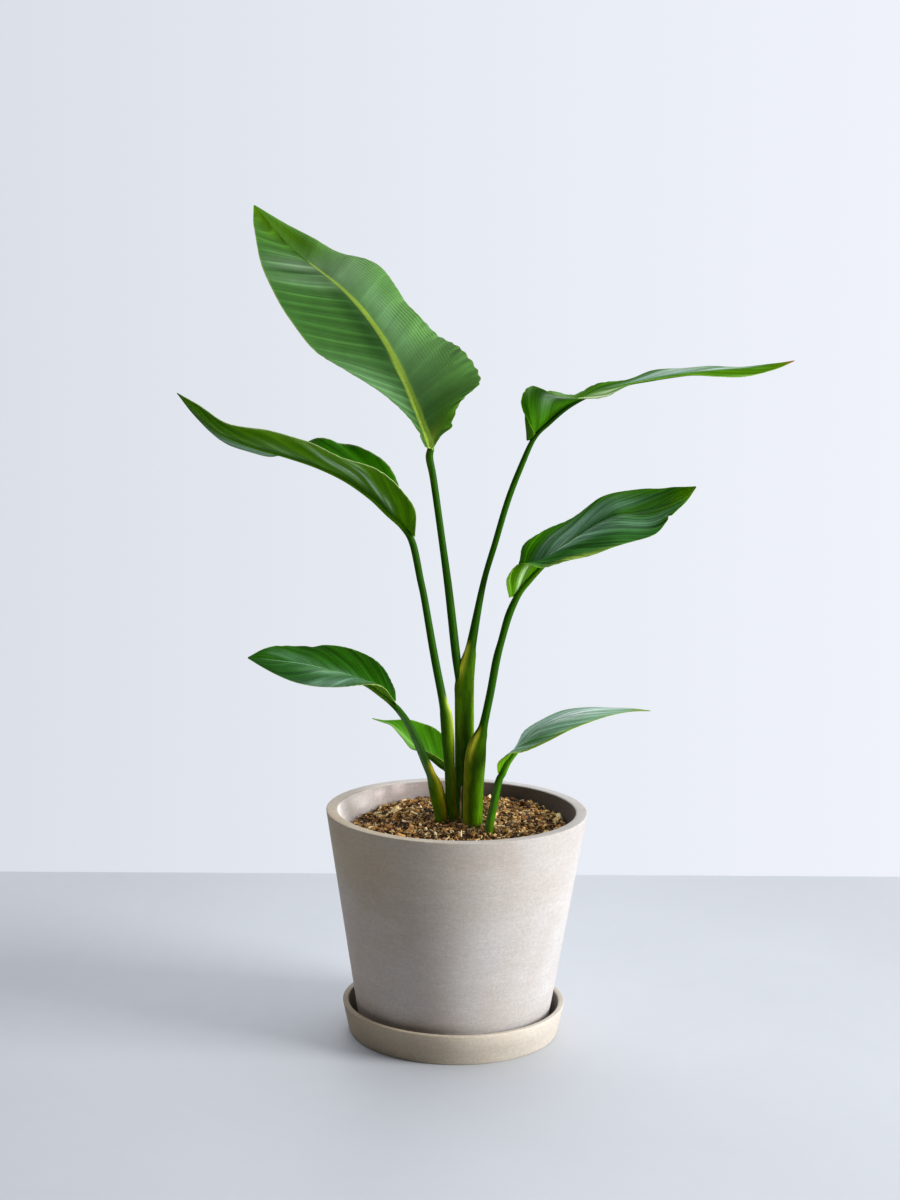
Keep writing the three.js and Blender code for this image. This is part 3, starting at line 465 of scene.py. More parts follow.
def blade(leaf, look, rows, columns, frills):
    """The blade as a closed thin body: vertices, faces, tint and vein coordinates."""
    t = np.linspace(0, 1, rows)
    u = t[:, None]
    steps = np.linspace(0, 1, columns + 1)
    steps = 0.5 * steps + 0.5 * steps * steps * (3 - 2 * steps)
    v = steps[None, :]
    rib_half = look["rib_width"] / 2 * (0.15 + 0.85 * (1 - np.minimum(1, u / look["rib_end"])) ** 1.2)
    halves, widths, pleat_shades, crests, leans = zip(*(
        half_blade(leaf, look, side, frills[side], u, v, rib_half) for side in (0, 1)))

    def joined(left, right):
        return np.concatenate([left[:, :0:-1], right], axis=1)

    surface, swell, crest = joined(*halves), joined(*pleat_shades), joined(*crests)
    lean = joined(*(way * v for way in leans))
    cross = np.concatenate([-steps[:0:-1], steps])[None, :]
    normal = unit(np.cross(np.gradient(surface, axis=1), np.gradient(surface, axis=0)))
    thick = (THICK_AT_RIB - THINNER_AT_EDGE * np.abs(cross)) * (0.35 + 0.65 * ramp(0, 0.1, 1 - u))
    lift = normal * thick[..., None] / 2

    width = np.where(cross < 0, widths[0], widths[1])
    from_rib, from_edge = np.abs(cross) * width, (1 - np.abs(cross)) * width
    share = u + 0 * cross
    tints = []
    for face, key in ((1, "upper"), (-1, "under")):
        left, right = look[key]
        c = mix(linear(left), linear(right), ramp(-0.02, 0.02, cross + 0 * u))
        # patches of the leaf's own colour, of painted sheen and of painted shade
        for *place, colour, strength in look.get(key + "_tone_and_light", []):
            at, over, wide, long = np.array(place) / 100
            slant = (lean - leans[int(over > 0)] * abs(over)) * (1 - ramp(0.8, 0.94, share))
            near = bell((share - at - slant) / wide) * bell((cross - over) / long)
            c = mix(c, linear(colour), np.minimum(1, strength / 100 * near))
        # painted shade of the pleats, darker in the troughs and lighter on the crests, flipped on the
        # underside, with the crest lines
        c = c * (1 + swell * face + crest)[..., None]
        rib = 1 - ramp(0.75, 1.05, from_rib / (rib_half * (1.0 if face > 0 else 0.6)))
        rib = rib * (1 - ramp(look["rib_end"] - 0.06, look["rib_end"], share))
        # the rib is lighter toward the base: partly its own paler colour there, partly painted light where
        # it lies in shade
        rib_colour = linear(look["rib"]) * (1 + 0.5 * (1 - ramp(0, 0.35, share)))[..., None]
        c = mix(c, rib_colour, rib * (1 if face > 0 else 0.5))
        rim = 1 - ramp(0.2, look.get("margin_reach", 0.8), from_edge)
        tints.append(mix(c, linear(look["margin"]), 0.7 * rim * ramp(0, 0.04, 1 - share)))

    # vein coordinates for the material, in 100 mm: along, share across, width of the half
    length = run_lengths(through(leaf_lines(leaf)[0], t)[0])
    veins = np.stack([(length - lean * length[-1]) / 100, cross + 0 * u, (width + 0 * cross) / 100], -1)
    vertices = np.concatenate([(surface + lift).reshape(-1, 3), (surface - lift).reshape(-1, 3)])
    tint = np.concatenate([part.reshape(-1, 3) for part in tints])
    return vertices, shell_faces(rows, cross.shape[1]), tint, np.tile(veins.reshape(-1, 3), (2, 1))


def keel_stations(leaf):
    """The raised midrib under the blade, which goes on from the stalk."""
    midrib, margins = leaf_lines(leaf)
    start = KEEL_BASE_SHARE * leaf["stalk"][-1][3]
    stations = []
    for i in range(KEEL_STEPS + 1):
        share = KEEL_END * (0.03 + 0.97 * i / KEEL_STEPS)
        radius = start + (KEEL_TIP_RADIUS - start) * i / KEEL_STEPS
        up = unit(sum(half_normal(midrib, margins[side], side, share) for side in (0, 1)))
        centre = through(midrib, share)[0] - up * KEEL_DROP * radius
        stations.append([*centre, radius, radius])
    return stations


def stalk_body(leaf, look, sides=36):
    stations = [*leaf["stalk"], *keel_stations(leaf)]
    vertices, faces, t, angle, centre = tube(stations, 14 * len(stations), sides)
    height = centre[:, 2:3]
    turn = np.degrees(angle)[None, :]
    stalk_share = len(leaf["stalk"]) / len(stations)
    on_blade = ramp(stalk_share, stalk_share + 0.04, t)[:, None] + 0 * turn
    sheath = 1 - ramp(leaf["sheath"] - 40, leaf["sheath"] + 30, height) + 0 * turn
    tint = mix(linear(STALK_GREEN), linear(SHEATH_GREEN), sheath)
    tint = mix(tint, linear(look.get("keel", look["under"][0])), 0.8 * on_blade)
    # painted highlight, painted shade and the stalk's own colour, placed by side and height
    for at, spread, low, high, colour, strength in look.get("stalk", []):
        near = bell(((turn - at + 180) % 360 - 180) / spread)
        near = near * ramp(low - 14, low + 14, height) * (1 - ramp(high - 8, high + 6, height))
        tint = mix(tint, linear(colour), strength * near)
    foot = 1 - ramp(240, 254, height) + 0 * turn
    tint = mix(tint, linear(FOOT_BROWN), 0.35 * foot)
    run = run_lengths(centre)
    veins = np.stack([np.cos(angle) + 0 * run, np.sin(angle) + 0 * run, run / 10 + 0 * turn], -1)
    return vertices, faces, tint.reshape(-1, 3), veins.reshape(-1, 3)


def make_leaf(name, rows, columns, frills=(0.2, 0.2), **surface):
    leaf, look = LEAVES[name], GREENS[name]
    b_vertices, b_faces, b_tint, b_veins = blade(leaf, look, rows, columns, frills)
    s_vertices, s_faces, s_tint, s_veins = stalk_body(leaf, look)
    faces = b_faces + [[k + len(b_vertices) for k in f] for f in s_faces]
    thing = make_mesh("fine_" + name, np.vstack([b_vertices, s_vertices]), faces,
                      np.vstack([b_tint, s_tint]), np.vstack([b_veins, s_veins]), sharp=60)
    place_piece(thing, leaf_material("green_" + name, **surface), name)
    thing.data.materials.append(stalk_material("stalk_" + name))
    thing.data.polygons.foreach_set("material_index", [0] * len(b_faces) + [1] * len(s_faces))


# ---------- materials


class Nodes:
    """The node tree of a material or of the world, with short calls to add and join nodes."""

    def __init__(self, owner):
        owner.use_nodes = True
        self.owner, self.tree = owner, owner.node_tree

    def put(self, socket, value):
        if isinstance(value, bpy.types.NodeSocket):
            self.tree.links.new(value, socket)
        else:
            socket.default_value = value

    def add(self, kind, inputs=(), **settings):
        node = self.tree.nodes.new(kind)
        for key, value in settings.items():
            setattr(node, key, value)
        for key, value in dict(inputs).items():
            self.put(node.inputs[key], value)
        return node

    def attribute(self, name):
        node = self.add("ShaderNodeAttribute", attribute_type="GEOMETRY", attribute_name=name)
        return node.outputs["Color" if name == "tint" else "Vector"]

    def place(self):
        return self.add("ShaderNodeTexCoord").outputs["Object"]

    def split(self, vector):
        return self.add("ShaderNodeSeparateXYZ", {0: vector}).outputs

    def math(self, operation, *values):
        return self.add("ShaderNodeMath", enumerate(values), operation=operation).outputs[0]

    def times(self, value, *others):
        for other in others:
            value = self.math("MULTIPLY", value, other)
        return value

    def scaled(self, vector, scale, place=(0, 0, 0)):
        node = self.add("ShaderNodeMapping", {"Vector": vector, "Scale": scale, "Location": place})
        return node.outputs[0]

    def noise(self, vector, scale, detail=3.0, roughness=0.55, distortion=0.0):
        node = self.add("ShaderNodeTexNoise", {"Vector": vector, "Scale": scale, "Detail": detail,
                                               "Roughness": roughness, "Distortion": distortion})
        return node.outputs["Fac"]

    def remap(self, value, low, high, to_low=0.0, to_high=1.0):
        node = self.add("ShaderNodeMapRange", {"Value": value, "From Min": low, "From Max": high,
                                               "To Min": to_low, "To Max": to_high})
        return node.outputs[0]

    def blend(self, factor, a, b, how="MIX"):
        a, b = (v if isinstance(v, bpy.types.NodeSocket) else (*v, 1) for v in (a, b))
        return self.add("ShaderNodeMix", {0: factor, 6: a, 7: b}, data_type="RGBA",
                        blend_type=how).outputs[2]

    def multiply(self, colour, value, factor=1.0):
        """Multiplies a colour by a plain number."""
        grey = self.add("ShaderNodeCombineColor", {0: value, 1: value, 2: value}).outputs[0]
        return self.blend(factor, colour, grey, "MULTIPLY")

    def mottled(self, colour, value, low, high, depth, factor=1.0):
        """Multiplies a colour by 1 - depth where value is low, up to 1 + depth where it is high."""
        return self.multiply(colour, self.remap(value, low, high, 1 - depth, 1 + depth), factor)

    def gradient(self, value, stops):
        node = self.add("ShaderNodeValToRGB", {0: value})
        elements = node.color_ramp.elements
        while len(elements) < len(stops):
            elements.new(0.5)
        for element, (place, colour) in zip(elements, stops):
            element.position, element.color = place, (*colour, 1)
        return node.outputs[0]

    def bump(self, height, distance, strength):
        return self.add("ShaderNodeBump", {"Height": height, "Distance": distance,
                                           "Strength": strength}).outputs[0]

    def finish(self, colour, roughness, specular, normal=None):
        """Sets the Principled shader and returns the material."""
        inputs = self.tree.nodes["Principled BSDF"].inputs
        self.put(inputs["Base Color"], colour)
        self.put(inputs["Roughness"], roughness)
        inputs["Specular IOR Level"].default_value = specular
        if normal:
            self.put(inputs["Normal"], normal)
        return self.owner


# the fine wrinkles of leaf_top's right half, in 100 mm: their spacing across it, and along it
# the length over which they drift by one spacing
WRINKLE_SPACING, WRINKLE_DRIFT = 0.034, 0.3


def leaf_material(name, gloss=0.36, wrinkle=0.0, sheen=0.02, streak=1.0, lines=75):
    """Lines and bands that follow the veins; lines is how many fine ones lie in 100 mm."""
    n = Nodes(bpy.data.materials.new(name))
    veins, place = n.attribute("veins"), n.place()
    along, across, width = n.split(veins)
    fine = n.noise(n.scaled(veins, (lines, 0.8, 0)), 1, 2)
    broad = n.noise(n.scaled(veins, (30, 0.6, 0), (3, 1, 0)), 1, 2)
    mottle = n.noise(place, 55, 4)
    strength = n.remap(across, -0.05, 0.05, 1.0, 0.3 if wrinkle else 1.0)
    spread = 0.16 / max(1, streak)
    colour = n.mottled(n.attribute("tint"), fine, 0.3, 0.7, 0.16 * streak, strength)
    colour = n.mottled(colour, broad, 0.5 - spread, 0.5 + spread, 0.18 * streak, strength)
    colour = n.mottled(colour, mottle, 0.25, 0.75, 0.10)
    height = n.math("ADD", n.times(fine, 0.4), n.times(broad, 0.8))
    if wrinkle:
        phase = n.math("ADD", n.times(across, width, TAU / WRINKLE_SPACING),
                       n.times(along, TAU / WRINKLE_DRIFT))
        phase = n.math("ADD", phase, n.times(n.noise(place, 26, 2), 4.0))
        wave = n.times(n.math("SINE", phase), n.remap(across, 0.2, 0.7), n.remap(along, 0.45, 1.1),
                       n.remap(n.noise(place, 22, 2), 0.35, 0.6, 0.35, 1.0), wrinkle)
        height = n.math("ADD", height, n.times(wave, 0.7))
        # painted shade of the wrinkles: darker in their troughs, lighter on their tops
        colour = n.mottled(colour, wave, -1, 1, 0.24)
    roughness = n.remap(mottle, 0.3, 0.7, gloss - 0.05, gloss + 0.08)
    return n.finish(colour, roughness, sheen, n.bump(height, 0.0006, 0.5))


def stalk_material(name):
    """Fibrous green: fine streaks along the stalk. veins is round the stalk and along it."""
    n = Nodes(bpy.data.materials.new(name))
    veins = n.attribute("veins")
    fibres = n.noise(n.scaled(veins, (9, 9, 1.1)), 1, 3)
    bands = n.noise(n.scaled(veins, (2.6, 2.6, 0.6), (5, 0, 0)), 1, 2)
    colour = n.mottled(n.attribute("tint"), fibres, 0.32, 0.68, 0.22)
    colour = n.mottled(colour, bands, 0.3, 0.7, 0.20)
    return n.finish(colour, n.remap(bands, 0.3, 0.7, 0.34, 0.46), 0.05, n.bump(fibres, 0.0002, 0.3))


def stone_material(name, warm, cool, pale, streak=1.0):
    """Cast stone composite: clouds of warm and cool grey, level streaks, fine pits."""
    n = Nodes(bpy.data.materials.new(name))
    place = n.place()
    cloud = n.noise(place, 7, 5, 0.6, 0.6)
    drift = n.noise(n.scaled(place, (9, 9, 34)), 1, 6, 0.68)
    thread = n.noise(n.scaled(place, (60, 60, 520)), 1, 3)
    grain = n.noise(place, 900, 2)
    colour = n.blend(n.remap(cloud, 0.35, 0.68), linear(warm), linear(cool))
    colour = n.blend(n.times(n.remap(drift, 0.5, 0.8), 0.5 * streak), colour, linear(pale))
    colour = n.mottled(colour, thread, 0.2, 0.8, 0.07)
    colour = n.mottled(colour, grain, 0.3, 0.7, 0.12)
    colour = n.mottled(colour, n.noise(place, 260, 3, 0.7), 0.3, 0.7, 0.07)
    colour = n.blend(1.0, colour, n.attribute("tint"), "MULTIPLY")
    pits = n.add("ShaderNodeTexVoronoi", {"Vector": place, "Scale": 420.0}).outputs["Distance"]
    pit = n.times(n.remap(pits, 0.0, 0.22, 1.0, 0.0), n.remap(n.noise(place, 120, 1), 0.55, 0.7))
    colour = n.blend(n.times(pit, 0.35), colour, linear((96, 86, 76)))
    height = n.math("SUBTRACT", n.times(n.math("ADD", grain, thread), 0.5), pit)
    return n.finish(colour, n.remap(drift, 0.3, 0.7, 0.62, 0.8), 0.35, n.bump(height, 0.0004, 0.5))


def chip_material(name, roughness=0.85):
    n = Nodes(bpy.data.materials.new(name))
    place = n.place()
    colour = n.mottled(n.attribute("tint"), n.noise(place, 700, 3), 0.25, 0.75, 0.3)
    rough = n.remap(n.noise(place, 300, 2), 0.3, 0.7, roughness - 0.1, roughness + 0.1)
    return n.finish(colour, rough, 0.3, n.bump(n.noise(place, 900, 3), 0.0005, 0.6))


# ---------- pot and saucer

POT_BOTTOM, POT_TOP = 6.3, 262.0
POT_BASE_RADIUS, POT_RIM_RADIUS, POT_WALL = 109.0, 150.0, 13.0
POT_FLOOR_TOP = POT_BOTTOM + 12.3
POT_FOOT_HEIGHT, POT_FOOT_RADIUS, DRAIN_RADIUS = 3, 90, 8.0
SAUCER_BASE_RADIUS, SAUCER_LIP_RADIUS, SAUCER_WALL = 121.0, 129.0, 6.8
SAUCER_FLOOR, SAUCER_HEIGHT = 6.0, 36.0
CENTRE_RADIUS = 0.05      # the saucer's profile stops this near to its axis
SEGMENTS = 160
SHADED, LIT = 212, 335    # degrees round +Z of the sides away from and toward the window


def pot_outer(z):
    return POT_BASE_RADIUS + (POT_RIM_RADIUS - POT_BASE_RADIUS) * (z - POT_BOTTOM) / (POT_TOP - POT_BOTTOM)


def rounded(profile, steps=5):
    """The profile [radius, height, corner radius] with its corners rounded."""
    out = []
    for i, (r, z, corner) in enumerate(profile):
        here = np.array([r, z])
        if not corner:
            out.append(here)
            continue
        start, end = (here + corner * unit(np.array(profile[k % len(profile)][:2]) - here)
                      for k in (i - 1, i + 1))
        for s in np.arange(steps + 1) / steps:
            out.append((1 - s) ** 2 * start + 2 * s * (1 - s) * here + s * s * end)
    return np.array(out)


def finer(profile, longest):
    """More points along the long straight runs of a closed profile."""
    out = []
    for a, b in zip(profile, np.roll(profile, -1, axis=0)):
        parts = max(1, int(np.linalg.norm(b - a) / longest))
        out += [a + (b - a) * k / parts for k in range(parts)]
    return np.array(out)


def turned(name, profile, shade):
    """A ring-shaped body turned round +Z from a closed profile, outside first."""
    count = len(profile)
    angle = TAU * np.arange(SEGMENTS) / SEGMENTS
    radius, height = profile.T
    vertices = np.stack([np.outer(np.cos(angle), radius), np.outer(np.sin(angle), radius),
                         np.broadcast_to(height, (SEGMENTS, count))], -1).reshape(-1, 3)
    faces = grid_faces(SEGMENTS + 1, count, closed=True)[:, [0, 3, 2, 1]] % len(vertices)
    return make_mesh(name, vertices, faces, shade(vertices), sharp=50)


def facing(x, y, degrees, power):
    """1 on the side that faces these degrees round +Z, falling to 0 on the far side."""
    return (0.5 + 0.5 * np.cos(np.arctan2(y, x) - math.radians(degrees))) ** power


def pot_shade(v):
    """Multiplies the stone's colour, with painted shade: warmer and darker at the left, away from the window
    and most toward the rim, a little darker toward the window, darker low down and on the right wall inside;
    painted light on the left wall inside, with cloudy lime bloom.
    """
    x, y, z = v.T
    inside = (np.hypot(x, y) < pot_outer(z) - POT_WALL + 1) & (z < POT_TOP - 1)
    # painted shade: warmer and darker on the side away from the window, most toward the rim, and warmer low
    # down on that side
    left = facing(x, y, SHADED, 2.6)
    tint = mix(np.ones(3), (0.88, 0.76, 0.56), left * ramp(110, 230, z) * ~inside)
    tint = mix(tint, tint * (0.99, 0.90, 0.81), left * (1 - ramp(110, 210, z)) * ~inside)
    # painted shade: a little darker on the side toward the window
    tint *= (1 - 0.07 * facing(x, y, LIT, 6) * ~inside)[:, None]
    # lime bloom on the left wall inside; the right wall inside darkened as painted shade and the left wall
    # lightened as painted light
    bloom = np.sin(0.10 * x + 0.34 * z + 1.5 * np.sin(0.07 * x)) * np.sin(0.06 * y - 0.25 * z + 0.05 * x + 1)
    bloom = np.clip(bloom, 0, 1) * ramp(-20, -70, x)
    wall = mix((0.66, 0.59, 0.59), (0.25, 0.20, 0.195), ramp(-40, 60, x))
    wall = mix(wall, (1.75, 1.72, 1.72), ramp(80, 138, -x))
    wall = mix(wall, wall + 0.5, bloom)
    tint = np.where(inside[:, None], wall, tint)
    # painted shade low down, where the pot stands in the saucer
    foot = 1 - ramp(POT_BOTTOM, POT_BOTTOM + 22, z)
    return tint * (1 - 0.12 * foot)[:, None]


def saucer_shade(v):
    """Painted shade: warmer and darker at the left, away from the window, and dark in the gap round the pot;
    a painted highlight on the front lip.
    """
    x, y, z = v.T
    left = facing(x, y, SHADED, 1.6)
    # painted shade on the side away from the window
    tint = mix(np.ones(3), (0.78, 0.69, 0.56), left)
    inner = SAUCER_LIP_RADIUS - SAUCER_WALL
    # painted shadow in the gap round the pot
    tint[(np.hypot(x, y) < inner + 0.2) & (z > SAUCER_FLOOR / 2) & (z < SAUCER_HEIGHT - 1.5)] *= 0.3
    # painted highlight on the front of the lip, painted shade on its sides and more at the left
    lip_light_and_shade = (0.86 + 0.60 * np.clip(-y / 125, 0, 1)) * (1 - 0.16 * left)
    return tint * np.where(z > SAUCER_HEIGHT - 2, lip_light_and_shade, 1)[:, None]


def make_pot():
    under = POT_BOTTOM + POT_FOOT_HEIGHT
    profile = rounded([
        [DRAIN_RADIUS, under, 0], [POT_FOOT_RADIUS - 2.5, under, 0], [POT_FOOT_RADIUS, POT_BOTTOM, 0.8],
        [POT_BASE_RADIUS, POT_BOTTOM, 1.8], [POT_RIM_RADIUS, POT_TOP, 1.7],
        [POT_RIM_RADIUS - POT_WALL, POT_TOP, 1.5],
        [pot_outer(POT_FLOOR_TOP) - POT_WALL, POT_FLOOR_TOP, 4], [DRAIN_RADIUS, POT_FLOOR_TOP, 0],
    ])
    pot = turned("stone_pot", finer(profile, 7), pot_shade)
    material = stone_material("stone_pot", (190, 182, 176), (200, 198, 198), (216, 214, 214))
    place_piece(pot, material, "pot")


def make_saucer():
    foot = (SAUCER_BASE_RADIUS + (SAUCER_LIP_RADIUS - SAUCER_BASE_RADIUS) * SAUCER_FLOOR / SAUCER_HEIGHT
            - SAUCER_WALL)
    profile = rounded([
        [CENTRE_RADIUS, 0, 0], [SAUCER_BASE_RADIUS, 0, 1.6], [SAUCER_LIP_RADIUS, SAUCER_HEIGHT, 1.9],
        [SAUCER_LIP_RADIUS - SAUCER_WALL, SAUCER_HEIGHT, 1.7], [foot - 1, SAUCER_FLOOR, 3],
        [CENTRE_RADIUS, SAUCER_FLOOR, 0],
    ])
    saucer = turned("stone_saucer", finer(profile, 14), saucer_shade)
    material = stone_material("stone_saucer", (192, 183, 169), (199, 193, 184), (214, 209, 202), 0.6)
    place_piece(saucer, material, "saucer")


# ---------- soil

SOIL_EDGE_HEIGHT, SOIL_CROWN, SOIL_RISE_BACK, SOIL_RISE_RIGHT = 232.0, 15.0, 13.0, 6.0
SOIL_RADIUS = pot_outer(SOIL_EDGE_HEIGHT) - POT_WALL
SOIL_LIFT, SOIL_GAP = 0.3, 0.4      # from the pot's floor and from its wall
SOIL_FOOT_INSET = 3.4               # the pot's inner corner is round
GROUND_DIP, LUMP_HEIGHT = 1.6, 0.8  # the ground lies below the chips
SOIL_RINGS, SOIL_SEGMENTS = 64, 200
SOIL_CENTRE = 0.4                   # radius of the innermost ring
STALK_FEET = [(9.7, 13.8, 11, 8), (-2.5, 2, 6, 6.5), (18.5, -11, 11, 8.5), (-17, 2, 7.3, 6.5),
              (-13, 19, 3.5, 3.5), (36.5, -33, 5, 5), (5.5, -4, 1.2, 4)]
CHIP_COLOURS = [(252, 228, 176), (240, 200, 134), (214, 164, 94), (182, 133, 70), (142, 99, 51),
                (100, 68, 35), (58, 40, 22), (34, 24, 13)]
PALETTE = np.array([linear(c) for c in CHIP_COLOURS])
CHIP_SIZES = [(150, 3.0, 5.0), (900, 1.6, 3.0), (3000, 0.7, 1.7)]   # count, from mm, to mm
LARGE_CHIP, CHIP_DIP = 1.9, 0.6
LARGE_WEIGHTS = [6, 8, 6, 5, 4, 4, 0, 0]
SMALL_WEIGHTS = [4, 5, 6, 6, 6, 6, 5, 3]
FIBRES, SHREDS = 80, 700


def soil_height(x, y):
    reach = np.hypot(x, y) / SOIL_RADIUS
    return (SOIL_EDGE_HEIGHT + SOIL_CROWN * (1 - reach**2)
            + SOIL_RISE_RIGHT * x / SOIL_RADIUS + SOIL_RISE_BACK * y / SOIL_RADIUS)


def lumps(x, y):
    return (np.sin(0.31 * x + 1.1 * np.sin(0.23 * y)) * np.cos(0.27 * y + 0.9 * np.sin(0.19 * x)) * 0.9
            + 0.7 * np.sin(0.93 * x - 0.41 * y) * np.cos(0.77 * y + 0.3 * x))


def on_disc(rng, radius):
    angle, reach = rng.uniform(0, TAU), radius * math.sqrt(rng.random())
    return reach * math.cos(angle), reach * math.sin(angle)


def make_soil():
    rng = np.random.default_rng(7)
    angle = TAU * np.arange(SOIL_SEGMENTS) / SOIL_SEGMENTS
    radius = np.linspace(SOIL_CENTRE, SOIL_RADIUS, SOIL_RINGS)
    x, y = radius[:, None] * np.cos(angle), radius[:, None] * np.sin(angle)
    z = soil_height(x, y) - GROUND_DIP + LUMP_HEIGHT * lumps(x, y) + rng.normal(0, 0.35, x.shape)
    squeeze = np.minimum(1, (pot_outer(z) - POT_WALL - SOIL_GAP) / np.hypot(x, y))
    x, y = x * squeeze, y * squeeze
    floor = POT_FLOOR_TOP + SOIL_LIFT
    for r in (pot_outer(floor) - POT_WALL - SOIL_FOOT_INSET, SOIL_CENTRE):
        x, y = np.vstack([x, r * np.cos(angle)]), np.vstack([y, r * np.sin(angle)])
        z = np.vstack([z, np.full(SOIL_SEGMENTS, floor)])
    faces = [f[::-1] for f in tube_faces(SOIL_RINGS + 2, SOIL_SEGMENTS)]
    tint = linear((70, 48, 30)) * (0.6 + 0.8 * rng.random(x.size)[:, None])
    ground = make_mesh("soil_ground", np.stack([x, y, z], -1).reshape(-1, 3), faces, tint)
    place_piece(ground, chip_material("soil_ground"), "soil")
    make_chips(rng)
    make_fibres(rng)


def chip_shape():
    """A cube of 26 points and 24 quads, pulled toward a ball."""
    points, index, quads = [], {}, []
    for key in itertools.product((-1, 0, 1), repeat=3):
        if any(key):
            index[key] = len(points)
            points.append(np.array(key, float) / np.linalg.norm(key) ** 0.35)
    for axis, sign, u, v in itertools.product(range(3), (-1, 1), (-1, 0), (-1, 0)):
        quad = []
        for du, dv in ((0, 0), (1, 0), (1, 1), (0, 1)):
            key = [0, 0, 0]
            key[axis], key[(axis + 1) % 3], key[(axis + 2) % 3] = sign, u + du, v + dv
            quad.append(index[tuple(key)])
        quads.append(quad if sign > 0 else quad[::-1])
    return np.array(points), np.array(quads)


def turn_matrices(rng, count, tilt):
    yaw, a, b = rng.uniform(0, TAU, count), rng.normal(0, tilt, count), rng.normal(0, tilt, count)
    return np.array([Matrix.Rotation(p, 3, "Z") @ Matrix.Rotation(q, 3, "X") @ Matrix.Rotation(r, 3, "Y")
                     for p, q, r in zip(yaw, a, b)])


def make_chips(rng):
    shape, quads = chip_shape()
    centres, sizes = [], []
    for count, small, large in CHIP_SIZES:
        for _ in range(count):
            size = rng.uniform(small, large)
            x, y = on_disc(rng, SOIL_RADIUS - 0.8 * size - 1.2)
            near = any(((x - a) / (w + 0.7 * size)) ** 2 + ((y - b) / (d + 0.7 * size)) ** 2 < 1
                       for a, b, w, d in STALK_FEET)
            if not near:
                lift = rng.uniform(-0.5, 0.5) * size
                lift += LUMP_HEIGHT * float(lumps(x, y)) - CHIP_DIP
                centres.append((x, y, float(soil_height(x, y)) + lift))
                sizes.append(size)
    centres, sizes = np.array(centres), np.array(sizes)
    count = len(sizes)
    scale = sizes[:, None] * np.stack([rng.uniform(0.85, 1.6, count), rng.uniform(0.45, 0.95, count),
                                       rng.uniform(0.2, 0.6, count)], -1)
    bent = shape[None] * (1 + rng.normal(0, 0.2, (count, len(shape), 1))) * scale[:, None, :]
    bent = np.einsum("nij,nkj->nki", turn_matrices(rng, count, 0.8), bent)
    faces = quads[None] + (np.arange(count) * len(shape))[:, None, None]
    tone = np.empty((count, 3))
    for chosen, weights in ((sizes > LARGE_CHIP, LARGE_WEIGHTS), (sizes <= LARGE_CHIP, SMALL_WEIGHTS)):
        picks = rng.choice(len(PALETTE), chosen.sum(), p=np.array(weights) / sum(weights))
        tone[chosen] = PALETTE[picks] * rng.uniform(0.8, 1.15, (chosen.sum(), 1))
    chips = make_mesh("soil_chips", (bent + centres[:, None]).reshape(-1, 3), faces.reshape(-1, 4),
                      np.repeat(tone, len(shape), axis=0), sharp=28)
    place_piece(chips, chip_material("soil_chips", 0.78), None)


def make_fibres(rng):
    """Thin dry fibres round the stalks, and shreds of bark all over the soil."""
    vertices, faces, tint = [], [], []
    for i in range(FIBRES + SHREDS):
        fibre = i < FIBRES
        x, y = (rng.normal(2, 24), rng.normal(-8, 22)) if fibre else on_disc(rng, SOIL_RADIUS - 12)
        way, bend = rng.uniform(0, TAU), rng.normal(0, 0.35 if fibre else 0.1)
        length, lift = (rng.uniform(7, 20), rng.uniform(0.2, 2.4)) if fibre else (rng.uniform(3, 9), 0.4)
        wide, deep = (0.28, 0.22) if fibre else (rng.uniform(0.4, 1.0), rng.uniform(0.3, 0.5))
        rise = rng.uniform(0.8, 2.2)
        stations = []
        for k in range(5):
            z = float(soil_height(x, y)) + rise + lift * math.sin(math.pi * k / 4)
            stations.append([x, y, z, wide, deep])
            x, y, way = x + length / 4 * math.cos(way), y + length / 4 * math.sin(way), way + bend
        body, sides, *_ = tube(stations, 9 if fibre else 5, 5)
        faces += [[k + len(vertices) for k in f] for f in sides]
        vertices += list(body)
        colour = linear((176, 140, 96)) if fibre else PALETTE[rng.integers(0, 7)]
        tint += [colour * rng.uniform(0.5, 1.25)] * len(body)
    fibres = make_mesh("soil_fibres", vertices, faces, tint)
    place_piece(fibres, chip_material("soil_fibres", 0.8), None)


# ---------- dried sheath


def make_dry_sheath():
    sides = 16
    vertices, faces, t, *_ = tube(DRY_SHEATH, 40, sides)
    tint = mix(linear((222, 190, 166)), linear((160, 122, 92)), 0.5 + 0.5 * np.sin(17 * t))
    thing = make_mesh("dry_sliver", vertices, faces, np.repeat(tint, sides, axis=0), sharp=60)
    place_piece(thing, chip_material("dry_sliver", 0.8), "dry_sheath")


make_pot()
make_saucer()
make_soil()
make_dry_sheath()
make_leaf("leaf_top", 260, 30, (0.25, 0.9), gloss=0.38, wrinkle=0.6, sheen=0.03, streak=0.6)
make_leaf("leaf_high_left", 150, 22, gloss=0.34)
make_leaf("leaf_high_right", 160, 22, (0.3, 0.3), gloss=0.34, sheen=0.0)
make_leaf("leaf_mid_right", 150, 22, gloss=0.34, sheen=0.0, streak=1.9, lines=44)
make_leaf("leaf_low_left", 120, 18, gloss=0.36, sheen=0.01, streak=1.4)
make_leaf("leaf_low_back", 80, 12, gloss=0.4)
make_leaf("leaf_low_right", 110, 16, gloss=0.42, streak=1.4)

# ---------- floor, light, camera

# metres; the back edge is the line where the photo's floor meets the wall
FLOOR_CORNERS = [(-4.0, -6.0, 0), (4.0, -6.0, 0), (4.0, 0.785, 0), (-4.0, 0.475, 0)]
CAMERA_PLACE, CAMERA_PITCH, CAMERA_ROLL = (-0.0118, -2.348, 0.870), 8.85, 0.96   # m, degrees


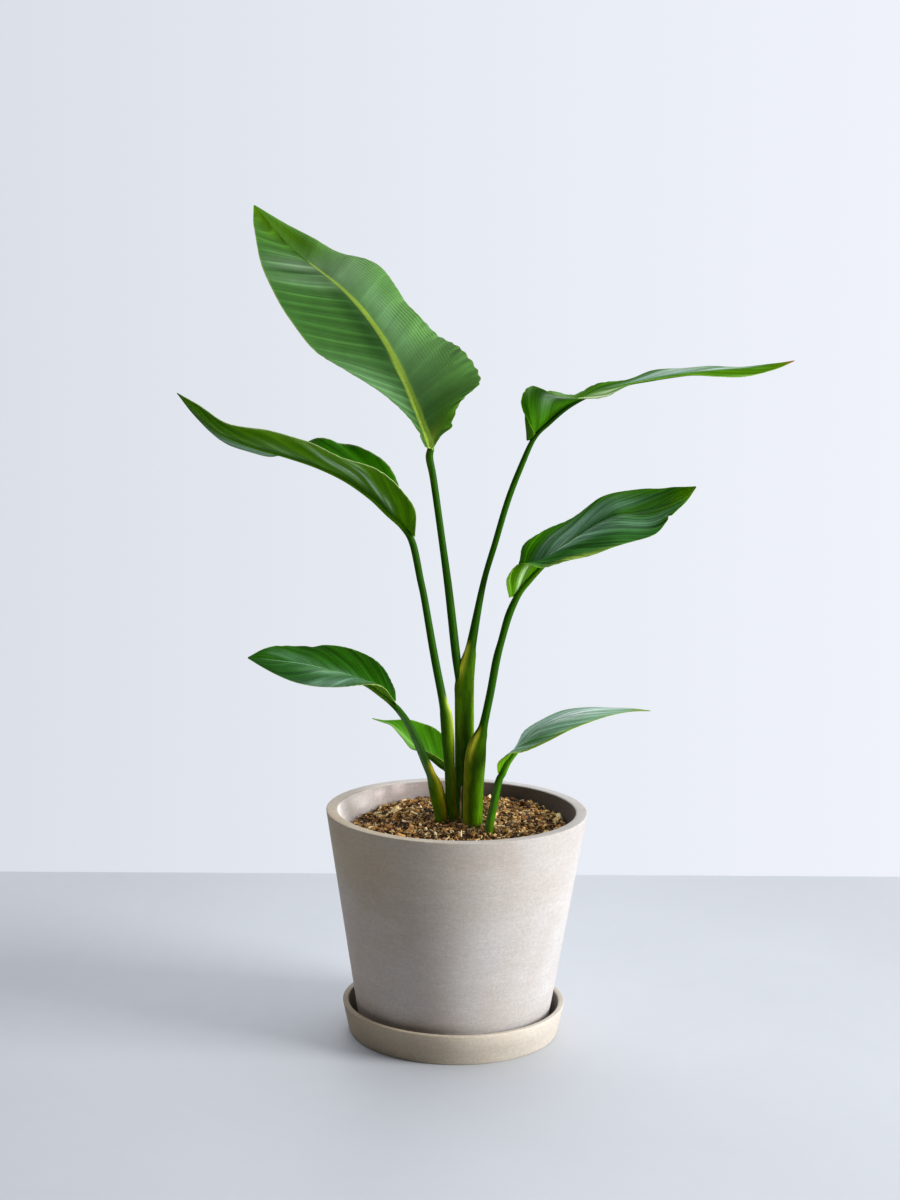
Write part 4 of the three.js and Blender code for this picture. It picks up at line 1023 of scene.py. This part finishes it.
def make_floor():
    mesh = bpy.data.meshes.new("floor")
    mesh.from_pydata(FLOOR_CORNERS, [], [(0, 1, 2, 3)])
    floor = new_object("floor", mesh)
    n = Nodes(bpy.data.materials.new("floor"))
    place = n.place()
    cloud = n.remap(n.noise(place, 2.5, 3), 0.3, 0.7)
    colour = n.blend(cloud, linear((194, 198, 204)), linear((199, 203, 209)))
    # painted shade: a little darker away from the window, at the right nearest it, and toward the camera
    x, y, _ = n.split(place)
    shade = n.times(n.remap(x, -0.55, 0.0, 0.88, 1.0), n.remap(x, 0.0, 0.6, 1.0, 0.86),
                    n.remap(y, -0.6, -0.1, 0.95, 1.0))
    roughness = n.remap(n.noise(place, 40, 2), 0.3, 0.7, 0.5, 0.56)
    floor.data.materials.append(n.finish(n.multiply(colour, shade), roughness, 0.3))


def make_world():
    """A pale wall for the camera, and for the light a room that is bright overhead."""
    world = bpy.data.worlds.new("studio")
    bpy.context.scene.world = world
    n = Nodes(world)
    n.tree.nodes.clear()
    way = n.add("ShaderNodeTexCoord").outputs["Generated"]
    # the wall the camera sees, with painted shade: darker at the left, away from the window
    seen = n.gradient(n.remap(n.split(way)[0], -0.22, 0.22), [
        (0.0, linear((219, 223, 231))), (0.5, linear((231, 235, 243))), (1.0, linear((240, 243, 251)))])
    # bright overhead and toward the wall behind the plant, dim on the camera's side
    overhead = n.add("ShaderNodeVectorMath", {0: way, 1: (0, 0.6, 0.8)}, operation="DOT_PRODUCT")
    room = n.gradient(n.remap(overhead.outputs["Value"], -1, 1), [
        (0.0, (0.02, 0.02, 0.021)), (0.55, (0.03, 0.03, 0.031)), (0.70, (0.205, 0.21, 0.22)),
        (0.825, (0.75, 0.77, 0.81)), (1.0, (1.90, 1.94, 2.03))])
    shown, light = (n.add("ShaderNodeBackground", {0: sky}).outputs[0] for sky in (seen, room))
    by_camera = n.add("ShaderNodeLightPath").outputs["Is Camera Ray"]
    pick = n.add("ShaderNodeMixShader", {0: by_camera, 1: light, 2: shown})
    n.add("ShaderNodeOutputWorld", {0: pick.outputs[0]})


def make_light(name, place, target, size, power, colour):
    data = bpy.data.lights.new(name, "AREA")
    data.shape, data.size, data.size_y = "RECTANGLE", *size
    data.energy, data.color = power, colour
    lamp = new_object(name, data)
    lamp.location = place
    lamp.rotation_euler = (Vector(target) - Vector(place)).to_track_quat("-Z", "Y").to_euler()


def make_camera():
    data = bpy.data.cameras.new("camera")
    data.lens, data.sensor_width, data.clip_end = 63.0, 36.0, 50.0
    pitch, roll = math.radians(CAMERA_PITCH), math.radians(CAMERA_ROLL)
    ahead = Vector((0, math.cos(pitch), -math.sin(pitch)))
    level, up = Vector((1, 0, 0)), Vector((0, math.sin(pitch), math.cos(pitch)))
    right = math.cos(roll) * level + math.sin(roll) * up
    top = math.cos(roll) * up - math.sin(roll) * level
    camera = new_object("camera", data)
    turn = Matrix((right, top, -ahead)).transposed().to_4x4()
    camera.matrix_world = Matrix.Translation(CAMERA_PLACE) @ turn
    bpy.context.scene.camera = camera


make_floor()
make_world()
make_light("window", (2.97, -0.91, 1.13), (0, 0, 0.4), (1.4, 1.6), 152, (1.0, 0.995, 0.985))
make_camera()
bpy.context.scene.view_settings.view_transform = "Standard"
